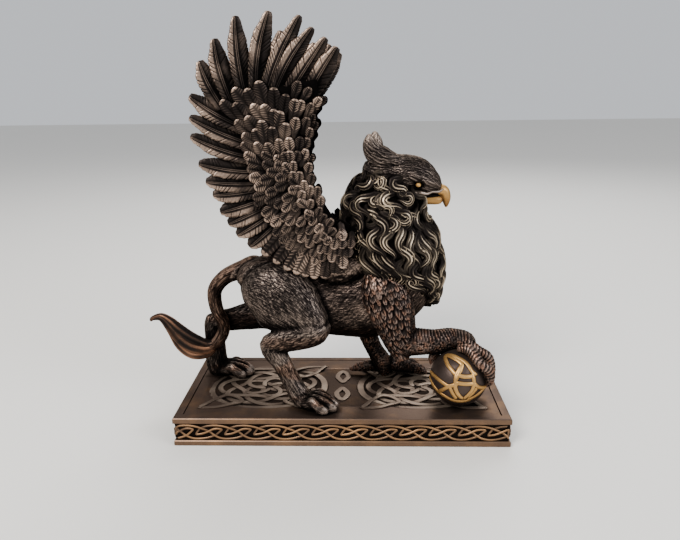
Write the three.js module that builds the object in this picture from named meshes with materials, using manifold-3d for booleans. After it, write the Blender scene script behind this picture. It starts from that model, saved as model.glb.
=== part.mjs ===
// A griffin with one claw on a banded orb, on a rectangular plinth with knotwork.
// Millimetres, +Z up. The griffin faces +X. The origin is the centre of the plinth's underside.
import * as THREE from 'three';
import { mergeVertices } from 'three/addons/utils/BufferGeometryUtils.js';
import Module from 'manifold-3d';

const wasm = await Module();
wasm.setup();

// Plinth
const PLINTH_LENGTH = 200;
const PLINTH_WIDTH = 88;
const PLINTH_HEIGHT = 18.2;
const TOP_SLAB = 3.7;
const FOOT_SLAB = 3.5;
const SLAB_ROUND = 0.6;
const FRIEZE_SINK = 1.1;
const RIM_WIDTH = 6;
const PANEL_SINK = 1;
const STRAP_WIDTH = 3.4;
const STRAP_HEIGHT = 0.8;
const PANEL_BORDER = 6;
const FRIEZE_UNIT = 17.3;
const FRIEZE_STRAND = 1.5;
const FRIEZE_MARGIN = 0.4;

// The gap that the castings keep where they stand on each other
const TOUCH_GAP = 0.3;

// Orb
const ORB_RADIUS = 17.2;
const ORB_X = 71.3;
const ORB_Y = -22.2;
const ORB_SEAT = 0.5;
const ORB_BAND_WIDTH = 3;
const ORB_BAND_RISE = 0.7;
const ORB_BAND_DEPTH = 1.6;

// Griffin. Its forms are given for a griffin 225 mm tall and scaled to its height.
const GRIFFIN_HEIGHT = 225;
const MODELLED_HEIGHT = 225;
const WING_THICKNESS = 5;
const WING_ROOT_OUT = 20;
const WING_ROOT_HEIGHT = 88;
const WING_LEAN = 6 / 140;
const WING_CUP = 8;
const LONG_FEATHERS = 19;
const FAR_WING_TURN = -1.5;
const MANE_LOCKS = 11;
const MANE_TIERS = 5;

// The paws and the orb stand just clear of the tops of the knotwork straps
const STRAP_TOP = PLINTH_HEIGHT - PANEL_SINK + STRAP_HEIGHT;
const STAND = STRAP_TOP + TOUCH_GAP;
const SCALE = GRIFFIN_HEIGHT / MODELLED_HEIGHT;
const SIDEWAYS = new THREE.Vector3(0, 1, 0);
const UP = new THREE.Vector3(0, 0, 1);

const { clamp, degToRad, lerp } = THREE.MathUtils;
const point = (x, y, z) => new THREE.Vector3(x, y, z);
const place = (x, y, z) => point(x * SCALE, y * SCALE, z * SCALE + STAND);

// A closed geometry as a solid that can be joined and cut
function solidOf(geometry) {
  const bare = geometry.clone();
  bare.deleteAttribute('normal');
  bare.deleteAttribute('uv');
  const merged = mergeVertices(bare, 1e-4);
  return new wasm.Manifold(new wasm.Mesh({
    numProp: 3,
    vertProperties: Float32Array.from(merged.attributes.position.array),
    triVerts: Uint32Array.from(merged.index.array),
  }));
}

// Solids joined in pairs, and the pairs in pairs, until one is left
function joined(solids) {
  let left = solids;
  while (left.length > 1) {
    const pairs = [];
    for (let i = 0; i < left.length; i += 2) {
      pairs.push(i + 1 < left.length ? left[i].add(left[i + 1]) : left[i]);
    }
    left = pairs;
  }
  return left[0];
}

function meshOf(name, solid, material) {
  const { vertProperties, triVerts } = solid.getMesh();
  const geometry = new THREE.BufferGeometry();
  geometry.setAttribute('position', new THREE.BufferAttribute(vertProperties, 3));
  geometry.setIndex(new THREE.BufferAttribute(triVerts, 1));
  const mesh = new THREE.Mesh(geometry, material);
  mesh.name = name;
  return mesh;
}

// A closed form drawn along a curve: a ring of `sides` at each step and a point at each end.
// A station is [spot, half depth, half width]. The width lies along `across`, and `turn`
// rolls each ring by a share of a full turn.
function drawn(stations, { across = SIDEWAYS, sides = 8, steps = stations.length - 1, turn = 0 } = {}) {
  const path = new THREE.CatmullRomCurve3(stations.map(([spot]) => spot));
  const last = stations.length - 1;
  const sizeAt = (t, entry) => {
    const index = Math.min(Math.floor(t * last + 1e-9), last - 1);
    return lerp(stations[index][entry], stations[index + 1][entry], t * last - index);
  };
  const shell = new THREE.SphereGeometry(1, sides, steps);
  const { position } = shell.attributes;
  for (let ring = 0; ring <= steps; ring += 1) {
    const t = ring / steps;
    const middle = path.getPoint(t);
    const tangent = path.getTangent(t);
    const wide = across.clone().addScaledVector(tangent, -across.dot(tangent)).normalize();
    const deep = tangent.clone().cross(wide);
    const full = ring > 0 && ring < steps ? 1 : 0;
    for (let side = 0; side <= sides; side += 1) {
      const angle = 2 * Math.PI * ((side % sides) / sides + turn);
      const spot = middle.clone();
      spot.addScaledVector(wide, -Math.cos(angle) * sizeAt(t, 2) * full);
      spot.addScaledVector(deep, Math.sin(angle) * sizeAt(t, 1) * full);
      position.setXYZ(ring * (sides + 1) + side, spot.x, spot.y, spot.z);
    }
  }
  return solidOf(shell);
}

// A form of the griffin, from rows of [x, y, z, half depth, half width]
function form(rows, options) {
  return drawn(rows.map(([x, y, z, deep, wide]) => [place(x, y, z), deep * SCALE, wide * SCALE]), options);
}

// A closed strap: the four-sided ring of a torus laid along a closed path. `outward` gives the
// direction that the strap's height rises in at each place of the path.
function strapLoop(path, steps, width, height, outward) {
  const ring = new THREE.TorusGeometry(1, 0.1, 4, steps);
  const { position } = ring.attributes;
  for (let corner = 0; corner <= 4; corner += 1) {
    const angle = 2 * Math.PI * ((corner % 4) / 4 + 1 / 8);
    for (let step = 0; step <= steps; step += 1) {
      const t = (step % steps) / steps;
      const spot = path.getPoint(t);
      const rise = outward(spot);
      const side = path.getTangent(t).cross(rise).normalize();
      spot.addScaledVector(side, Math.cos(angle) * width / Math.SQRT2);
      spot.addScaledVector(rise, Math.sin(angle) * height * Math.SQRT2);
      position.setXYZ(corner * (steps + 1) + step, spot.x, spot.y, spot.z);
    }
  }
  return solidOf(ring);
}

// A box centred on the origin between two heights, with its long edges rounded off
function slab(length, width, low, high) {
  const outline = new THREE.Shape();
  const halfLength = length / 2 - SLAB_ROUND;
  const halfWidth = width / 2 - SLAB_ROUND;
  outline.moveTo(-halfLength, -halfWidth);
  outline.lineTo(halfLength, -halfWidth);
  outline.lineTo(halfLength, halfWidth);
  outline.lineTo(-halfLength, halfWidth);
  outline.closePath();
  const geometry = new THREE.ExtrudeGeometry(outline, {
    depth: high - low - 2 * SLAB_ROUND,
    bevelThickness: SLAB_ROUND,
    bevelSize: SLAB_ROUND,
    bevelSegments: 1,
  });
  return solidOf(geometry.translate(0, 0, low + SLAB_ROUND));
}

function block(length, width, low, high) {
  return solidOf(new THREE.BoxGeometry(length, width, high - low).translate(0, 0, (low + high) / 2));
}

// Knotwork on the plinth's top

const KNOT_LENGTH = PLINTH_LENGTH / 2 - RIM_WIDTH - PANEL_BORDER - STRAP_WIDTH;
const KNOT_WIDTH = PLINTH_WIDTH / 2 - RIM_WIDTH - PANEL_BORDER - STRAP_WIDTH / 2;

// A strap lies with its lower half in the panel
const panelStrap = (route, steps) => strapLoop(
  new THREE.CatmullRomCurve3(route.map(([x, y]) => point(x, y, STRAP_TOP - STRAP_HEIGHT)), true),
  steps, STRAP_WIDTH, STRAP_HEIGHT, () => UP,
);

// One arc of a plaited ring, from a loop's outer end to the next that it reaches. The arcs of all
// the loops make a ring that winds three times round its centre.
function plaitedArc(centreX, reachX, reachY, start, sweep, swing) {
  const steps = 6;
  const overlap = 0.03;
  return drawn(Array.from({ length: steps + 1 }, (_, i) => {
    const share = lerp(-overlap, 1 + overlap, i / steps);
    const angle = start + sweep * share;
    const radius = 1 - swing + swing * Math.cos(2 * Math.PI * share);
    return [
      point(centreX + reachX * radius * Math.cos(angle), reachY * radius * Math.sin(angle),
        STRAP_TOP - STRAP_HEIGHT),
      STRAP_WIDTH / Math.SQRT2,
      STRAP_HEIGHT * Math.SQRT2,
    ];
  }), { across: UP, sides: 4, turn: 1 / 8 });
}

// A strap that runs out to a point in each corner of the panel
function cornerStrap(side, end) {
  const rows = [[0.5, 0.97], [0.72, 0.95], [0.985, 1]];
  const height = STRAP_HEIGHT * Math.SQRT2;
  return drawn(rows.map(([along, aside]) => [
    point(side * along * KNOT_LENGTH, end * aside * KNOT_WIDTH, STRAP_TOP - STRAP_HEIGHT),
    STRAP_WIDTH / Math.SQRT2,
    height,
  ]), { across: UP, sides: 4, turn: 1 / 8 });
}

function topKnotwork() {
  const straps = [];
  const centreGap = 3.2 * STRAP_WIDTH;
  for (const side of [-1, 1]) {
    const reach = (KNOT_LENGTH - centreGap / 2) / 2;
    const centre = side * (KNOT_LENGTH - reach);
    const oval = [[1, 0], [0.7, 0.72], [0, 1], [-0.7, 0.72], [-1, 0], [-0.7, -0.72], [0, -1], [0.7, -0.72]];
    straps.push(panelStrap(oval.map(([x, y]) => [centre + x * reach, y * KNOT_WIDTH]), 10));
    for (let loop = 0; loop < 4; loop += 1) {
      const start = Math.PI * (loop / 2 + 1 / 4);
      straps.push(plaitedArc(centre, reach * 0.9, KNOT_WIDTH * 0.9, start, Math.PI * 1.5, 0.32));
    }
    straps.push(cornerStrap(side, 1), cornerStrap(side, -1));
  }
  for (const end of [-1, 1]) {
    const middle = end * KNOT_WIDTH * 0.52;
    const loop = [[0, -1], [0.75, -0.1], [0, 0.8], [-0.75, -0.1]];
    const size = KNOT_WIDTH * 0.3;
    straps.push(panelStrap(loop.map(([x, y]) => [x * size, middle - end * y * size]), 8));
  }
  return joined(straps);
}

// Two strands that wave past each other along one side of the frieze
function friezeStrands(length, offset, turned) {
  const units = Math.round(length / FRIEZE_UNIT);
  const pitch = (length - FRIEZE_STRAND) / units;
  const bandLow = FOOT_SLAB;
  const bandHigh = PLINTH_HEIGHT - TOP_SLAB;
  const middle = (bandLow + bandHigh) / 2;
  const swing = (bandHigh - bandLow - FRIEZE_STRAND) / 2 - FRIEZE_MARGIN;
  const thick = FRIEZE_SINK * 0.8;
  const strands = [];
  for (const phase of [1, -1]) {
    const count = 2 * units;
    const rows = Array.from({ length: count + 1 }, (_, i) => {
      const along = (i / 2 - units / 2) * pitch;
      const height = middle + phase * swing * Math.cos(Math.PI * (i / 2 + 0.5));
      return [point(along, -offset, height),
        FRIEZE_STRAND / Math.SQRT2, thick * Math.SQRT2];
    });
    strands.push(drawn(rows, { sides: 4, turn: 1 / 8 }));
  }
  return joined(strands).rotate([0, 0, turned]);
}

function plinth() {
  const bandTop = PLINTH_HEIGHT - TOP_SLAB;
  const coreLength = PLINTH_LENGTH - 2 * FRIEZE_SINK;
  const coreWidth = PLINTH_WIDTH - 2 * FRIEZE_SINK;
  const bodies = [
    slab(PLINTH_LENGTH, PLINTH_WIDTH, 0, FOOT_SLAB),
    slab(PLINTH_LENGTH, PLINTH_WIDTH, bandTop, PLINTH_HEIGHT),
    block(coreLength, coreWidth, FOOT_SLAB / 2, PLINTH_HEIGHT - TOP_SLAB / 2),
    friezeStrands(coreLength, coreWidth / 2, 0),
    friezeStrands(coreLength, coreWidth / 2, 180),
    friezeStrands(coreWidth, coreLength / 2, 90),
    friezeStrands(coreWidth, coreLength / 2, -90),
  ];
  const panelLength = PLINTH_LENGTH - 2 * RIM_WIDTH;
  const panelWidth = PLINTH_WIDTH - 2 * RIM_WIDTH;
  const panel = block(panelLength, panelWidth, PLINTH_HEIGHT - PANEL_SINK, PLINTH_HEIGHT + PANEL_SINK);
  return joined(bodies).subtract(panel).add(topKnotwork());
}

// Orb

const ORB_CENTRE = point(ORB_X, ORB_Y, STAND - ORB_SEAT + ORB_RADIUS);

// A spot off the orb's surface: `angle` turns from the front over the top, `aside` leans to the far side
function overOrb(angle, aside, lift) {
  const radius = ORB_RADIUS + lift;
  const lean = degToRad(aside);
  const turn = degToRad(angle);
  return ORB_CENTRE.clone().add(point(
    radius * Math.cos(lean) * Math.cos(turn),
    radius * Math.sin(lean),
    radius * Math.cos(lean) * Math.sin(turn),
  ));
}

function ball(radius, sides, rings) {
  const geometry = new THREE.SphereGeometry(radius, sides, rings).rotateX(Math.PI / 2);
  return solidOf(geometry.translate(ORB_CENTRE.x, ORB_CENTRE.y, ORB_CENTRE.z));
}

// A band round the orb that leans by the two angles and bows to both sides as it goes round
function orbBand(pitch, roll, bow) {
  const spin = new THREE.Euler(degToRad(pitch), degToRad(roll), 0);
  const route = Array.from({ length: 12 }, (_, i) => {
    const angle = 2 * Math.PI * i / 12;
    const spot = point(Math.cos(angle), Math.sin(angle), bow * Math.sin(2 * angle)).normalize();
    return spot.multiplyScalar(ORB_RADIUS + ORB_BAND_RISE - ORB_BAND_DEPTH).applyEuler(spin).add(ORB_CENTRE);
  });
  const path = new THREE.CatmullRomCurve3(route, true);
  const outward = (spot) => spot.clone().sub(ORB_CENTRE).normalize();
  return strapLoop(path, 12, ORB_BAND_WIDTH, ORB_BAND_DEPTH, outward);
}

function orb() {
  const bands = [orbBand(20, 50, 0.2), orbBand(80, -10, 0.2), orbBand(-45, 15, 0.2)];
  const below = block(4 * PLINTH_LENGTH, 4 * PLINTH_WIDTH, -PLINTH_HEIGHT, STAND);
  return joined([ball(ORB_RADIUS, 12, 8), ...bands]).subtract(below);
}

// Griffin: lion's body and legs

function torso() {
  return form([
    [-63, 0, 68, 3, 3], [-59, 0, 68, 13, 12], [-49, 0, 68, 20, 17], [-34, 0, 66, 22, 20],
    [-18, 0, 60, 21, 20], [0, 0, 58, 22, 19], [17, 0, 60, 25, 20], [31, 0, 68, 24, 21],
    [40, 0, 80, 20, 19], [44, 0, 92, 8, 8],
  ], { sides: 12 });
}

function nearHindLeg() {
  return [
    form([
      [-57, -4, 71, 4, 5], [-50, -10, 70, 15, 12], [-40, -14, 67, 21, 14], [-28, -18, 60, 19, 13],
      [-18, -22, 53, 13, 10], [-11, -24, 49, 8, 7], [-6.5, -25, 48, 3, 3],
    ], { sides: 10 }),
    form([
      [-9, -25, 53, 4, 4], [-15, -25, 49, 9.4, 8], [-26, -25, 45, 9.2, 7.4], [-37, -25, 41.4, 7.4, 6.2],
      [-45, -25, 38.6, 5.6, 5], [-48.5, -25, 38, 2.5, 2.5],
    ]),
    form([
      [-45, -25, 43, 3, 3], [-41.5, -25, 37, 7, 5.4], [-35.5, -25.5, 27, 6, 5],
      [-29.5, -26, 14, 5.8, 5.2], [-25, -27, 6, 6.4, 6.2], [-23, -27, -2, 4, 5],
    ]),
  ];
}

function farHindLeg() {
  return [
    form([
      [-52, 5, 70, 6, 6], [-46, 12, 66, 16, 12], [-42, 16, 56, 16, 12], [-44, 18, 46, 12, 9],
      [-48, 18, 38, 5, 5],
    ], { sides: 10 }),
    form([
      [-38, 18, 50, 4, 4], [-46, 18, 47.5, 11, 9], [-58, 18, 44, 8.5, 7.5], [-72, 18, 40.5, 6.8, 6],
      [-85, 18, 38, 6, 5], [-90.5, 18, 36, 3, 3],
    ]),
    form([
      [-88, 18, 43, 3, 3], [-87, 18, 37, 5.5, 5], [-86, 18, 24, 5, 4.8], [-85.5, 18, 12, 5, 4.8],
      [-84, 18, 5, 6, 6], [-83, 18, -2, 4, 5],
    ]),
  ];
}

// A lion's paw that points along +X, with its heel at the given spot, turned by `heading` degrees
function lionPaw(x, y, heading) {
  const turn = degToRad(heading);
  const put = (ahead, aside, height) => [
    x + ahead * Math.cos(turn) - aside * Math.sin(turn),
    y + ahead * Math.sin(turn) + aside * Math.cos(turn),
    height,
  ];
  const across = point(-Math.sin(turn), Math.cos(turn), 0);
  const pad = form([
    [...put(-4, 0, 4), 2, 2], [...put(0, 0, 4.5), 5.5, 6], [...put(8, 0, 4.5), 5.5, 8], [...put(14, 0, 2), 3, 6],
  ], { across });
  const toes = [-7, -2.6, 2.4, 6.8].map((aside, i) => {
    const reach = [16.5, 19.5, 19, 16][i];
    return form([
      [...put(4, aside * 0.7, 4), 1.5, 1.5], [...put(9, aside * 0.9, 6), 3.6, 2.7],
      [...put(reach - 4, aside, 5), 3.9, 2.7], [...put(reach - 1, aside, 2.6), 2.6, 2],
      [...put(reach + 1.6, aside, 0), 0.6, 0.6],
    ], { across, sides: 5 });
  });
  return [pad, ...toes];
}

// Griffin: eagle's forelegs

function nearForeleg() {
  const wrist = overOrb(88, 22, 5.4 * SCALE);
  const shoulder = form([
    [20, -10, 84, 4, 4], [24, -15, 74, 13, 9], [29, -18, 62, 14, 9.5], [33, -18.5, 49, 12, 8.5],
    [35.5, -18, 37, 9, 7.4], [37.5, -18, 26.5, 4, 4],
  ], { sides: 8 });
  const forearm = drawn([
    [place(29, -18, 41), 4, 4],
    [place(35, -18, 39), 8.8, 7.6],
    [place(45, -17.5, 38), 8.6, 7.2],
    [place(57, -17, 38), 7.6, 6.6],
    [wrist.clone().add(point(-5, 0, 0.6)), 6.8, 7],
    [wrist.clone().add(point(5, 0, -0.5)), 5, 8],
    [wrist.clone().add(point(9, 0, -3)), 2, 4],
  ]);
  const fingers = [[-14, 0], [16, 6], [44, 0]].map(([aside, extra]) => drawn([
    [overOrb(96, (aside + 20) / 2, 3), 2, 2],
    [overOrb(76, (aside * 2 + 20) / 3, 3.6), 3.6, 3.6],
    [overOrb(52, aside, 3), 3.3, 3.4],
    [overOrb(30, aside, 3.3), 3.7, 3.6],
    [overOrb(6 - extra, aside, 2.4), 3, 3],
    [overOrb(-16 - extra, aside, 0.2), 0.7, 0.7],
  ], { sides: 6 }));
  const hindClaw = drawn([
    [overOrb(90, 12, 3), 2, 2],
    [overOrb(108, 8, 4), 4, 3.6],
    [overOrb(130, 2, 3.6), 3.7, 3.4],
    [overOrb(150, -2, 2.2), 2.6, 2.4],
    [overOrb(166, -4, 0.4), 0.7, 0.7],
  ], { sides: 6 });
  return [shoulder, forearm, ...fingers, hindClaw];
}

function farForeleg() {
  const leg = form([
    [12, 8, 70, 4, 4], [15, 12, 55, 11, 9], [18.5, 14, 40, 9, 8], [22, 14.5, 28, 6.4, 6],
    [25, 15, 16, 5.6, 5.4], [28, 15, 8, 6.4, 6.4], [29, 15, 0, 3, 4],
  ], { sides: 6 });
  const toes = [[58, 5], [55, 16], [48, 27]].map(([x, y]) => form([
    [28, 15, 6, 2, 2], [lerp(30, x, 0.25), lerp(15, y, 0.25), 8, 5.4, 4.4],
    [lerp(30, x, 0.6), lerp(15, y, 0.6), 5.6, 4, 3.5], [lerp(30, x, 0.85), lerp(15, y, 0.85), 4, 3.4, 3],
    [x, y, 0.8, 0.6, 0.6],
  ], { sides: 6 }));
  const hindToe = form([
    [30, 15, 6, 3, 3], [20, 15, 6, 4, 3.6], [12, 15, 4.5, 3, 2.8], [4, 15, 1, 0.6, 0.6],
  ], { sides: 6 });
  return [leg, ...toes, hindToe];
}

// Griffin: tail with its flame-shaped tuft

function tail() {
  const rope = form([
    [-46, 4, 78, 3, 3], [-54, 5, 80, 7, 7], [-62.7, 7, 77.9, 5.2, 5.2], [-74.5, 8, 72.6, 4.3, 4.3],
    [-81.5, 8, 64.6, 4, 4], [-82.7, 8, 56.5, 3.9, 3.9], [-81, 8, 47.8, 3.8, 3.8], [-77.6, 8, 41, 3.7, 3.7],
    [-77.9, 8, 34.3, 3.6, 3.6], [-82.4, 8, 26.8, 3.8, 3.8], [-88, 8, 23.4, 3.4, 3.4], [-92, 8, 22.6, 1, 1],
  ], { sides: 6 });
  const strands = [[-1, 4.4], [0, 5.2], [1, 4.4]].map(([side, size], i) => form([
    [-80, 8, 27, 1.5, 1.5], [-89, 8 + side, 23 - side, size, size * 0.8],
    [-99, 8 + side * 3.2, 24.4 - side * 3.4, size, size * 0.85],
    [-107, 8 + side * 2.6, 31 - side * 3.6, size, size * 0.8],
    [-112, 8 + side * 1.8, 39 - side * 2.2, size * 0.8, size * 0.6],
    [-118, 8 + side, 44.8 - side * 0.8, size * 0.5, size * 0.45],
    [-126.5 + i, 8, 43.2, 0.6, 0.6],
  ], { sides: 6 }));
  return [rope, ...strands];
}

// Griffin: head, beak and crest

function head() {
  const skull = form([
    [20, 0, 139, 4, 4], [26, 0, 140, 11, 10], [35, 0, 138.5, 12, 12], [45, 0, 136, 11.5, 12],
    [53, 0, 132.5, 9, 9.5], [58.5, 0, 129.6, 5.4, 6], [61, 0, 128.4, 2.5, 3],
  ], { sides: 10 });
  const upperBeak = form([
    [52, 0, 129, 3, 3], [58, 0, 128, 4.4, 4.6], [62.6, 0, 127, 4, 3.6], [65.2, 0, 122.6, 2.8, 2.4],
    [64.4, 0, 118.6, 1.5, 1.4], [63, 0, 116.4, 0.5, 0.5],
  ], { sides: 6 });
  const lowerBeak = form([
    [42, 0, 122.6, 3, 4], [48, 0, 122, 3, 5], [56, 0, 121.4, 2.4, 3.8], [61.4, 0, 121, 0.8, 1],
  ], { sides: 6 });
  const jaw = form([
    [34, 0, 126, 4, 5], [42, 0, 125.5, 6, 8], [50, 0, 125.6, 4.4, 6], [57, 0, 125.6, 1.4, 2],
  ]);
  const brows = [-1, 1].map((side) => form([
    [36, side * 9, 141, 1, 1], [44, side * 10, 138, 3, 2.8], [52, side * 8, 134.6, 2.6, 2.4],
    [57.5, side * 5, 131, 1, 1],
  ], { sides: 6 }));
  const crests = [[-6.5, 17, 161], [6.5, 20.5, 161.6]].map(([y, tipX, tipZ]) => form([
    [42, y * 0.8, 143, 2, 1.5], [35, y, 144.5, 4.6, 3.2], [27, y, 146.6, 7, 3.4], [21.5, y, 150.6, 6.6, 3],
    [tipX + 0.5, y, 156, 4.2, 2.2], [tipX, y, tipZ, 0.6, 0.6],
  ], { sides: 6 }));
  return [skull, upperBeak, lowerBeak, jaw, ...brows, ...crests];
}

// Griffin: mane. Its core is a cone round the neck, and locks curl down over it row by row.

const MANE_CORE = [
  [30, 0, 142, 8, 8], [28, 0, 134, 17, 15], [26, 0, 122, 22, 19], [27, 0, 110, 25, 22],
  [30, 0, 97, 27.5, 24], [35, 0, 84, 26, 23], [42, 0, 74, 18, 18], [49, 0, 65, 10, 10], [54, 0, 58, 3, 4],
];

// A spot on the mane's core: `level` runs down it from 0 to 1, `angle` goes round it from the face
function onMane(level, angle, lift) {
  const last = MANE_CORE.length - 1;
  const index = Math.min(Math.floor(level * last), last - 1);
  const share = level * last - index;
  const [x, , z, deep, wide] = MANE_CORE[index].map((value, i) => lerp(value, MANE_CORE[index + 1][i], share));
  return place(x + (deep + lift) * Math.cos(angle), (wide + lift) * Math.sin(angle), z);
}

// The mane hangs in tiers of locks: each tier starts on the core, stands off it towards the tips
// and ends in a step, and its ridges sway from side to side on the way down.
function mane() {
  const tierRings = [[0, -0.4, 0], [0.55, 2.4, 0.4], [1, 2.8, 1]];
  const sides = 2 * MANE_LOCKS;
  const rings = [[0, 0, 0, 0]];
  for (let tier = 0; tier < MANE_TIERS; tier += 1) {
    for (const [share, lift, droop] of tierRings) {
      const level = 0.06 + 0.9 * (tier + share * 0.97) / MANE_TIERS;
      rings.push([level, lift * (1 - 0.1 * tier), droop * 0.035, tier]);
    }
  }
  rings.push([1, 0, 0, 0]);
  const shell = new THREE.SphereGeometry(1, sides, rings.length - 1);
  const { position } = shell.attributes;
  rings.forEach(([level, lift, droop, tier], ring) => {
    for (let side = 0; side <= sides; side += 1) {
      const ridge = (side + tier) % 2 ? 1 : -1;
      const sway = 0.16 * Math.sin(2 * Math.PI * level * MANE_TIERS * 0.8);
      const angle = Math.PI + 2 * Math.PI * (side % sides) / sides + sway;
      const end = ring === 0 || ring === rings.length - 1;
      const spot = onMane(end ? level : clamp(level + ridge * droop, 0.01, 0.99), angle, lift + ridge * 0.9);
      if (end) spot.copy(onMane(level, 0, 0)).add(onMane(level, Math.PI, 0)).multiplyScalar(0.5);
      position.setXYZ(ring * (sides + 1) + side, spot.x, spot.y, spot.z);
    }
  });
  return solidOf(shell);
}

// Griffin: wings. A wing is laid out in the plane of the near one, with its bone up the leading
// edge and its long feathers fanned from the bone to the tips, then leaned out and mirrored.

const WING_EDGE = [
  [-12, 176], [-16.8, 167], [-18.6, 158.5], [-17.6, 151], [-15.9, 144], [-13.6, 136.8], [-9.6, 128.5],
  [-3.4, 117.8], [4, 106], [7, 88],
];
const FEATHER_TIPS = [
  [-5, 212], [-12, 217.5], [-19, 223.3], [-35, 225], [-52, 222.8], [-63.4, 212.4], [-73.6, 201.2],
  [-78.1, 184.6], [-79.6, 173.2], [-79.9, 162.1], [-76.5, 148.7], [-74, 137.7], [-70.6, 130.4],
  [-66.8, 120.8], [-59.5, 110], [-46.5, 98], [-34, 88], [-22.5, 81.5], [-10, 78.5],
];
const curveOf = (spots) => new THREE.CatmullRomCurve3(spots.map(([x, z]) => point(x, 0, z)));
const EDGE_CURVE = curveOf(WING_EDGE);
const TIP_CURVE = curveOf(FEATHER_TIPS);

// How far out from the griffin's middle the wing's own middle lies: it leans out as it rises, and
// its trailing feathers are cupped outwards
function wingOut(x, z) {
  return WING_ROOT_OUT + WING_LEAN * (z - WING_ROOT_HEIGHT) + WING_CUP * clamp((-x - 20) / 60, 0, 1);
}

// The rows of a wing's relief from the leading edge to the tips: [reach, how far the ridges reach
// on, how far the valleys fall back, ridge height, valley height, which columns are the ridges].
const WING_ROWS = [
  [0, 0, 0, 1.8, 1.8, 1], [0.1, 0, 0, 5, 4.8, 1],
  [0.3, 0.05, 0.02, 4.8, 3.7, 0], [0.312, 0.05, 0.02, 3.4, 3, 0],
  [0.54, 0.06, 0.02, 3.4, 2.2, 1], [0.552, 0.06, 0.02, 2.1, 1.2, 1],
  [0.92, 0.08, 0.08, 0.6, 0.6, 1],
];

// A curve carried on straight past its ends
function beyond(curve, t) {
  if (t < 0) return curve.getPoint(0).multiplyScalar(2).sub(curve.getPoint(-t));
  if (t > 1) return curve.getPoint(1).multiplyScalar(2).sub(curve.getPoint(2 - t));
  return curve.getPoint(t);
}

// The fan of feathers: a box whose columns are the ridges and valleys of the feathers, and whose
// rows are the edges of the overlapping layers, with the same relief on both faces.
function featherFan() {
  const columns = 2 * LONG_FEATHERS;
  const last = WING_ROWS.length - 1;
  const fan = new THREE.BoxGeometry(columns, 2, last, columns, 1, last);
  const { position } = fan.attributes;
  for (let i = 0; i < position.count; i += 1) {
    const column = Math.round(position.getX(i) + columns / 2);
    const face = position.getY(i);
    const [reach, on, back, high, low, parity] = WING_ROWS[Math.round(position.getZ(i) + last / 2)];
    const ridge = column % 2 === parity;
    const t = (column - 1) / (columns - 2);
    const bone = beyond(EDGE_CURVE, t);
    const tip = beyond(TIP_CURVE, t);
    const spot = bone.lerp(tip, reach + (ridge ? on : -back));
    const height = (ridge ? high : low) * WING_THICKNESS / 5;
    const put = place(spot.x, -wingOut(spot.x, spot.z) - face * height, spot.z);
    position.setXYZ(i, put.x, put.y, put.z);
  }
  return solidOf(fan);
}

function wing() {
  const shoulder = form([
    [12, -10, 78, 4, 4], [5, -16, 86, 13, 8], [-1, -20, 95, 11, 6.4], [-5, -21.5, 106, 2, 2],
  ], { sides: 5 });
  return shoulder.add(featherFan());
}

function griffin() {
  const nearWing = wing();
  const shoulder = place(0, 0, WING_ROOT_HEIGHT);
  const farWing = nearWing.mirror([0, 1, 0])
    .translate([-shoulder.x, 0, -shoulder.z])
    .rotate([0, FAR_WING_TURN, 0])
    .translate([shoulder.x, 0, shoulder.z]);
  const parts = [
    torso(), ...nearHindLeg(), ...farHindLeg(), ...lionPaw(-24, -27, -6), ...lionPaw(-84, 18, 0),
    ...nearForeleg(), ...farForeleg(), ...tail(), ...head(), mane(), nearWing, farWing,
  ];
  const below = block(4 * PLINTH_LENGTH, 4 * PLINTH_WIDTH, -PLINTH_HEIGHT, STAND);
  const facets = { sides: 16, rings: 10 };
  const inscribed = Math.cos(Math.PI / facets.sides) * Math.cos(Math.PI / facets.rings / 2);
  const clear = (ORB_RADIUS + ORB_BAND_RISE + TOUCH_GAP) / inscribed;
  const orbRoom = ball(clear, facets.sides, facets.rings);
  return joined(parts).subtract(below).subtract(orbRoom);
}

// Finishes: bronze paint over a cold casting, darker in the hollows, and gold on the orb

const plinthBronze = new THREE.MeshStandardMaterial({ color: 0x7a6250, roughness: 0.42, metalness: 0.6 });
const griffinBronze = new THREE.MeshStandardMaterial({ color: 0x4a3a30, roughness: 0.45, metalness: 0.6 });
const orbGold = new THREE.MeshStandardMaterial({ color: 0xa9793c, roughness: 0.38, metalness: 0.7 });

const statue = new THREE.Group();
statue.add(meshOf('plinth', plinth(), plinthBronze));
statue.add(meshOf('griffin', griffin(), griffinBronze));
statue.add(meshOf('orb', orb(), orbGold));

export default statue;
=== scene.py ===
"""A griffin with one claw on a banded orb, on a knotwork plinth: a bronze-finish table-top casting.

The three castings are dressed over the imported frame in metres: the plinth with its frieze and
interlaced straps, the orb with its gilt bands, and the griffin with its fur, scutes, mane and feathers.
"""

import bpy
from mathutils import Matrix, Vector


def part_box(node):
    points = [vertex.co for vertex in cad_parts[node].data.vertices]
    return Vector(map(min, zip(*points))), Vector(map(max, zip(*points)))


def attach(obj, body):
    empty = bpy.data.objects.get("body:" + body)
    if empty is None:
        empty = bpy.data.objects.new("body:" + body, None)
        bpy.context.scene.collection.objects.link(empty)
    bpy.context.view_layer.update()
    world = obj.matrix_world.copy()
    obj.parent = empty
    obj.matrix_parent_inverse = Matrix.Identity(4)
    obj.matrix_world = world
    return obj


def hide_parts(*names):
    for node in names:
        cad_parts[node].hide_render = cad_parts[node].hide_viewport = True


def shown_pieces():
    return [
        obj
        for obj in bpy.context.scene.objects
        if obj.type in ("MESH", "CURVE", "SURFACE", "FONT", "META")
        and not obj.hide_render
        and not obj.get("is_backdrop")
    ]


bl_info = {
    "name": "Griffin statue",
    "version": (1, 0, 0),
    "blender": (4, 5, 0),
    "location": "View3D > Sidebar > Griffin",
    "description": "Dresses the packed griffin, orb and plinth in their bronze finish",
    "category": "Add Mesh",
}

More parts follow.
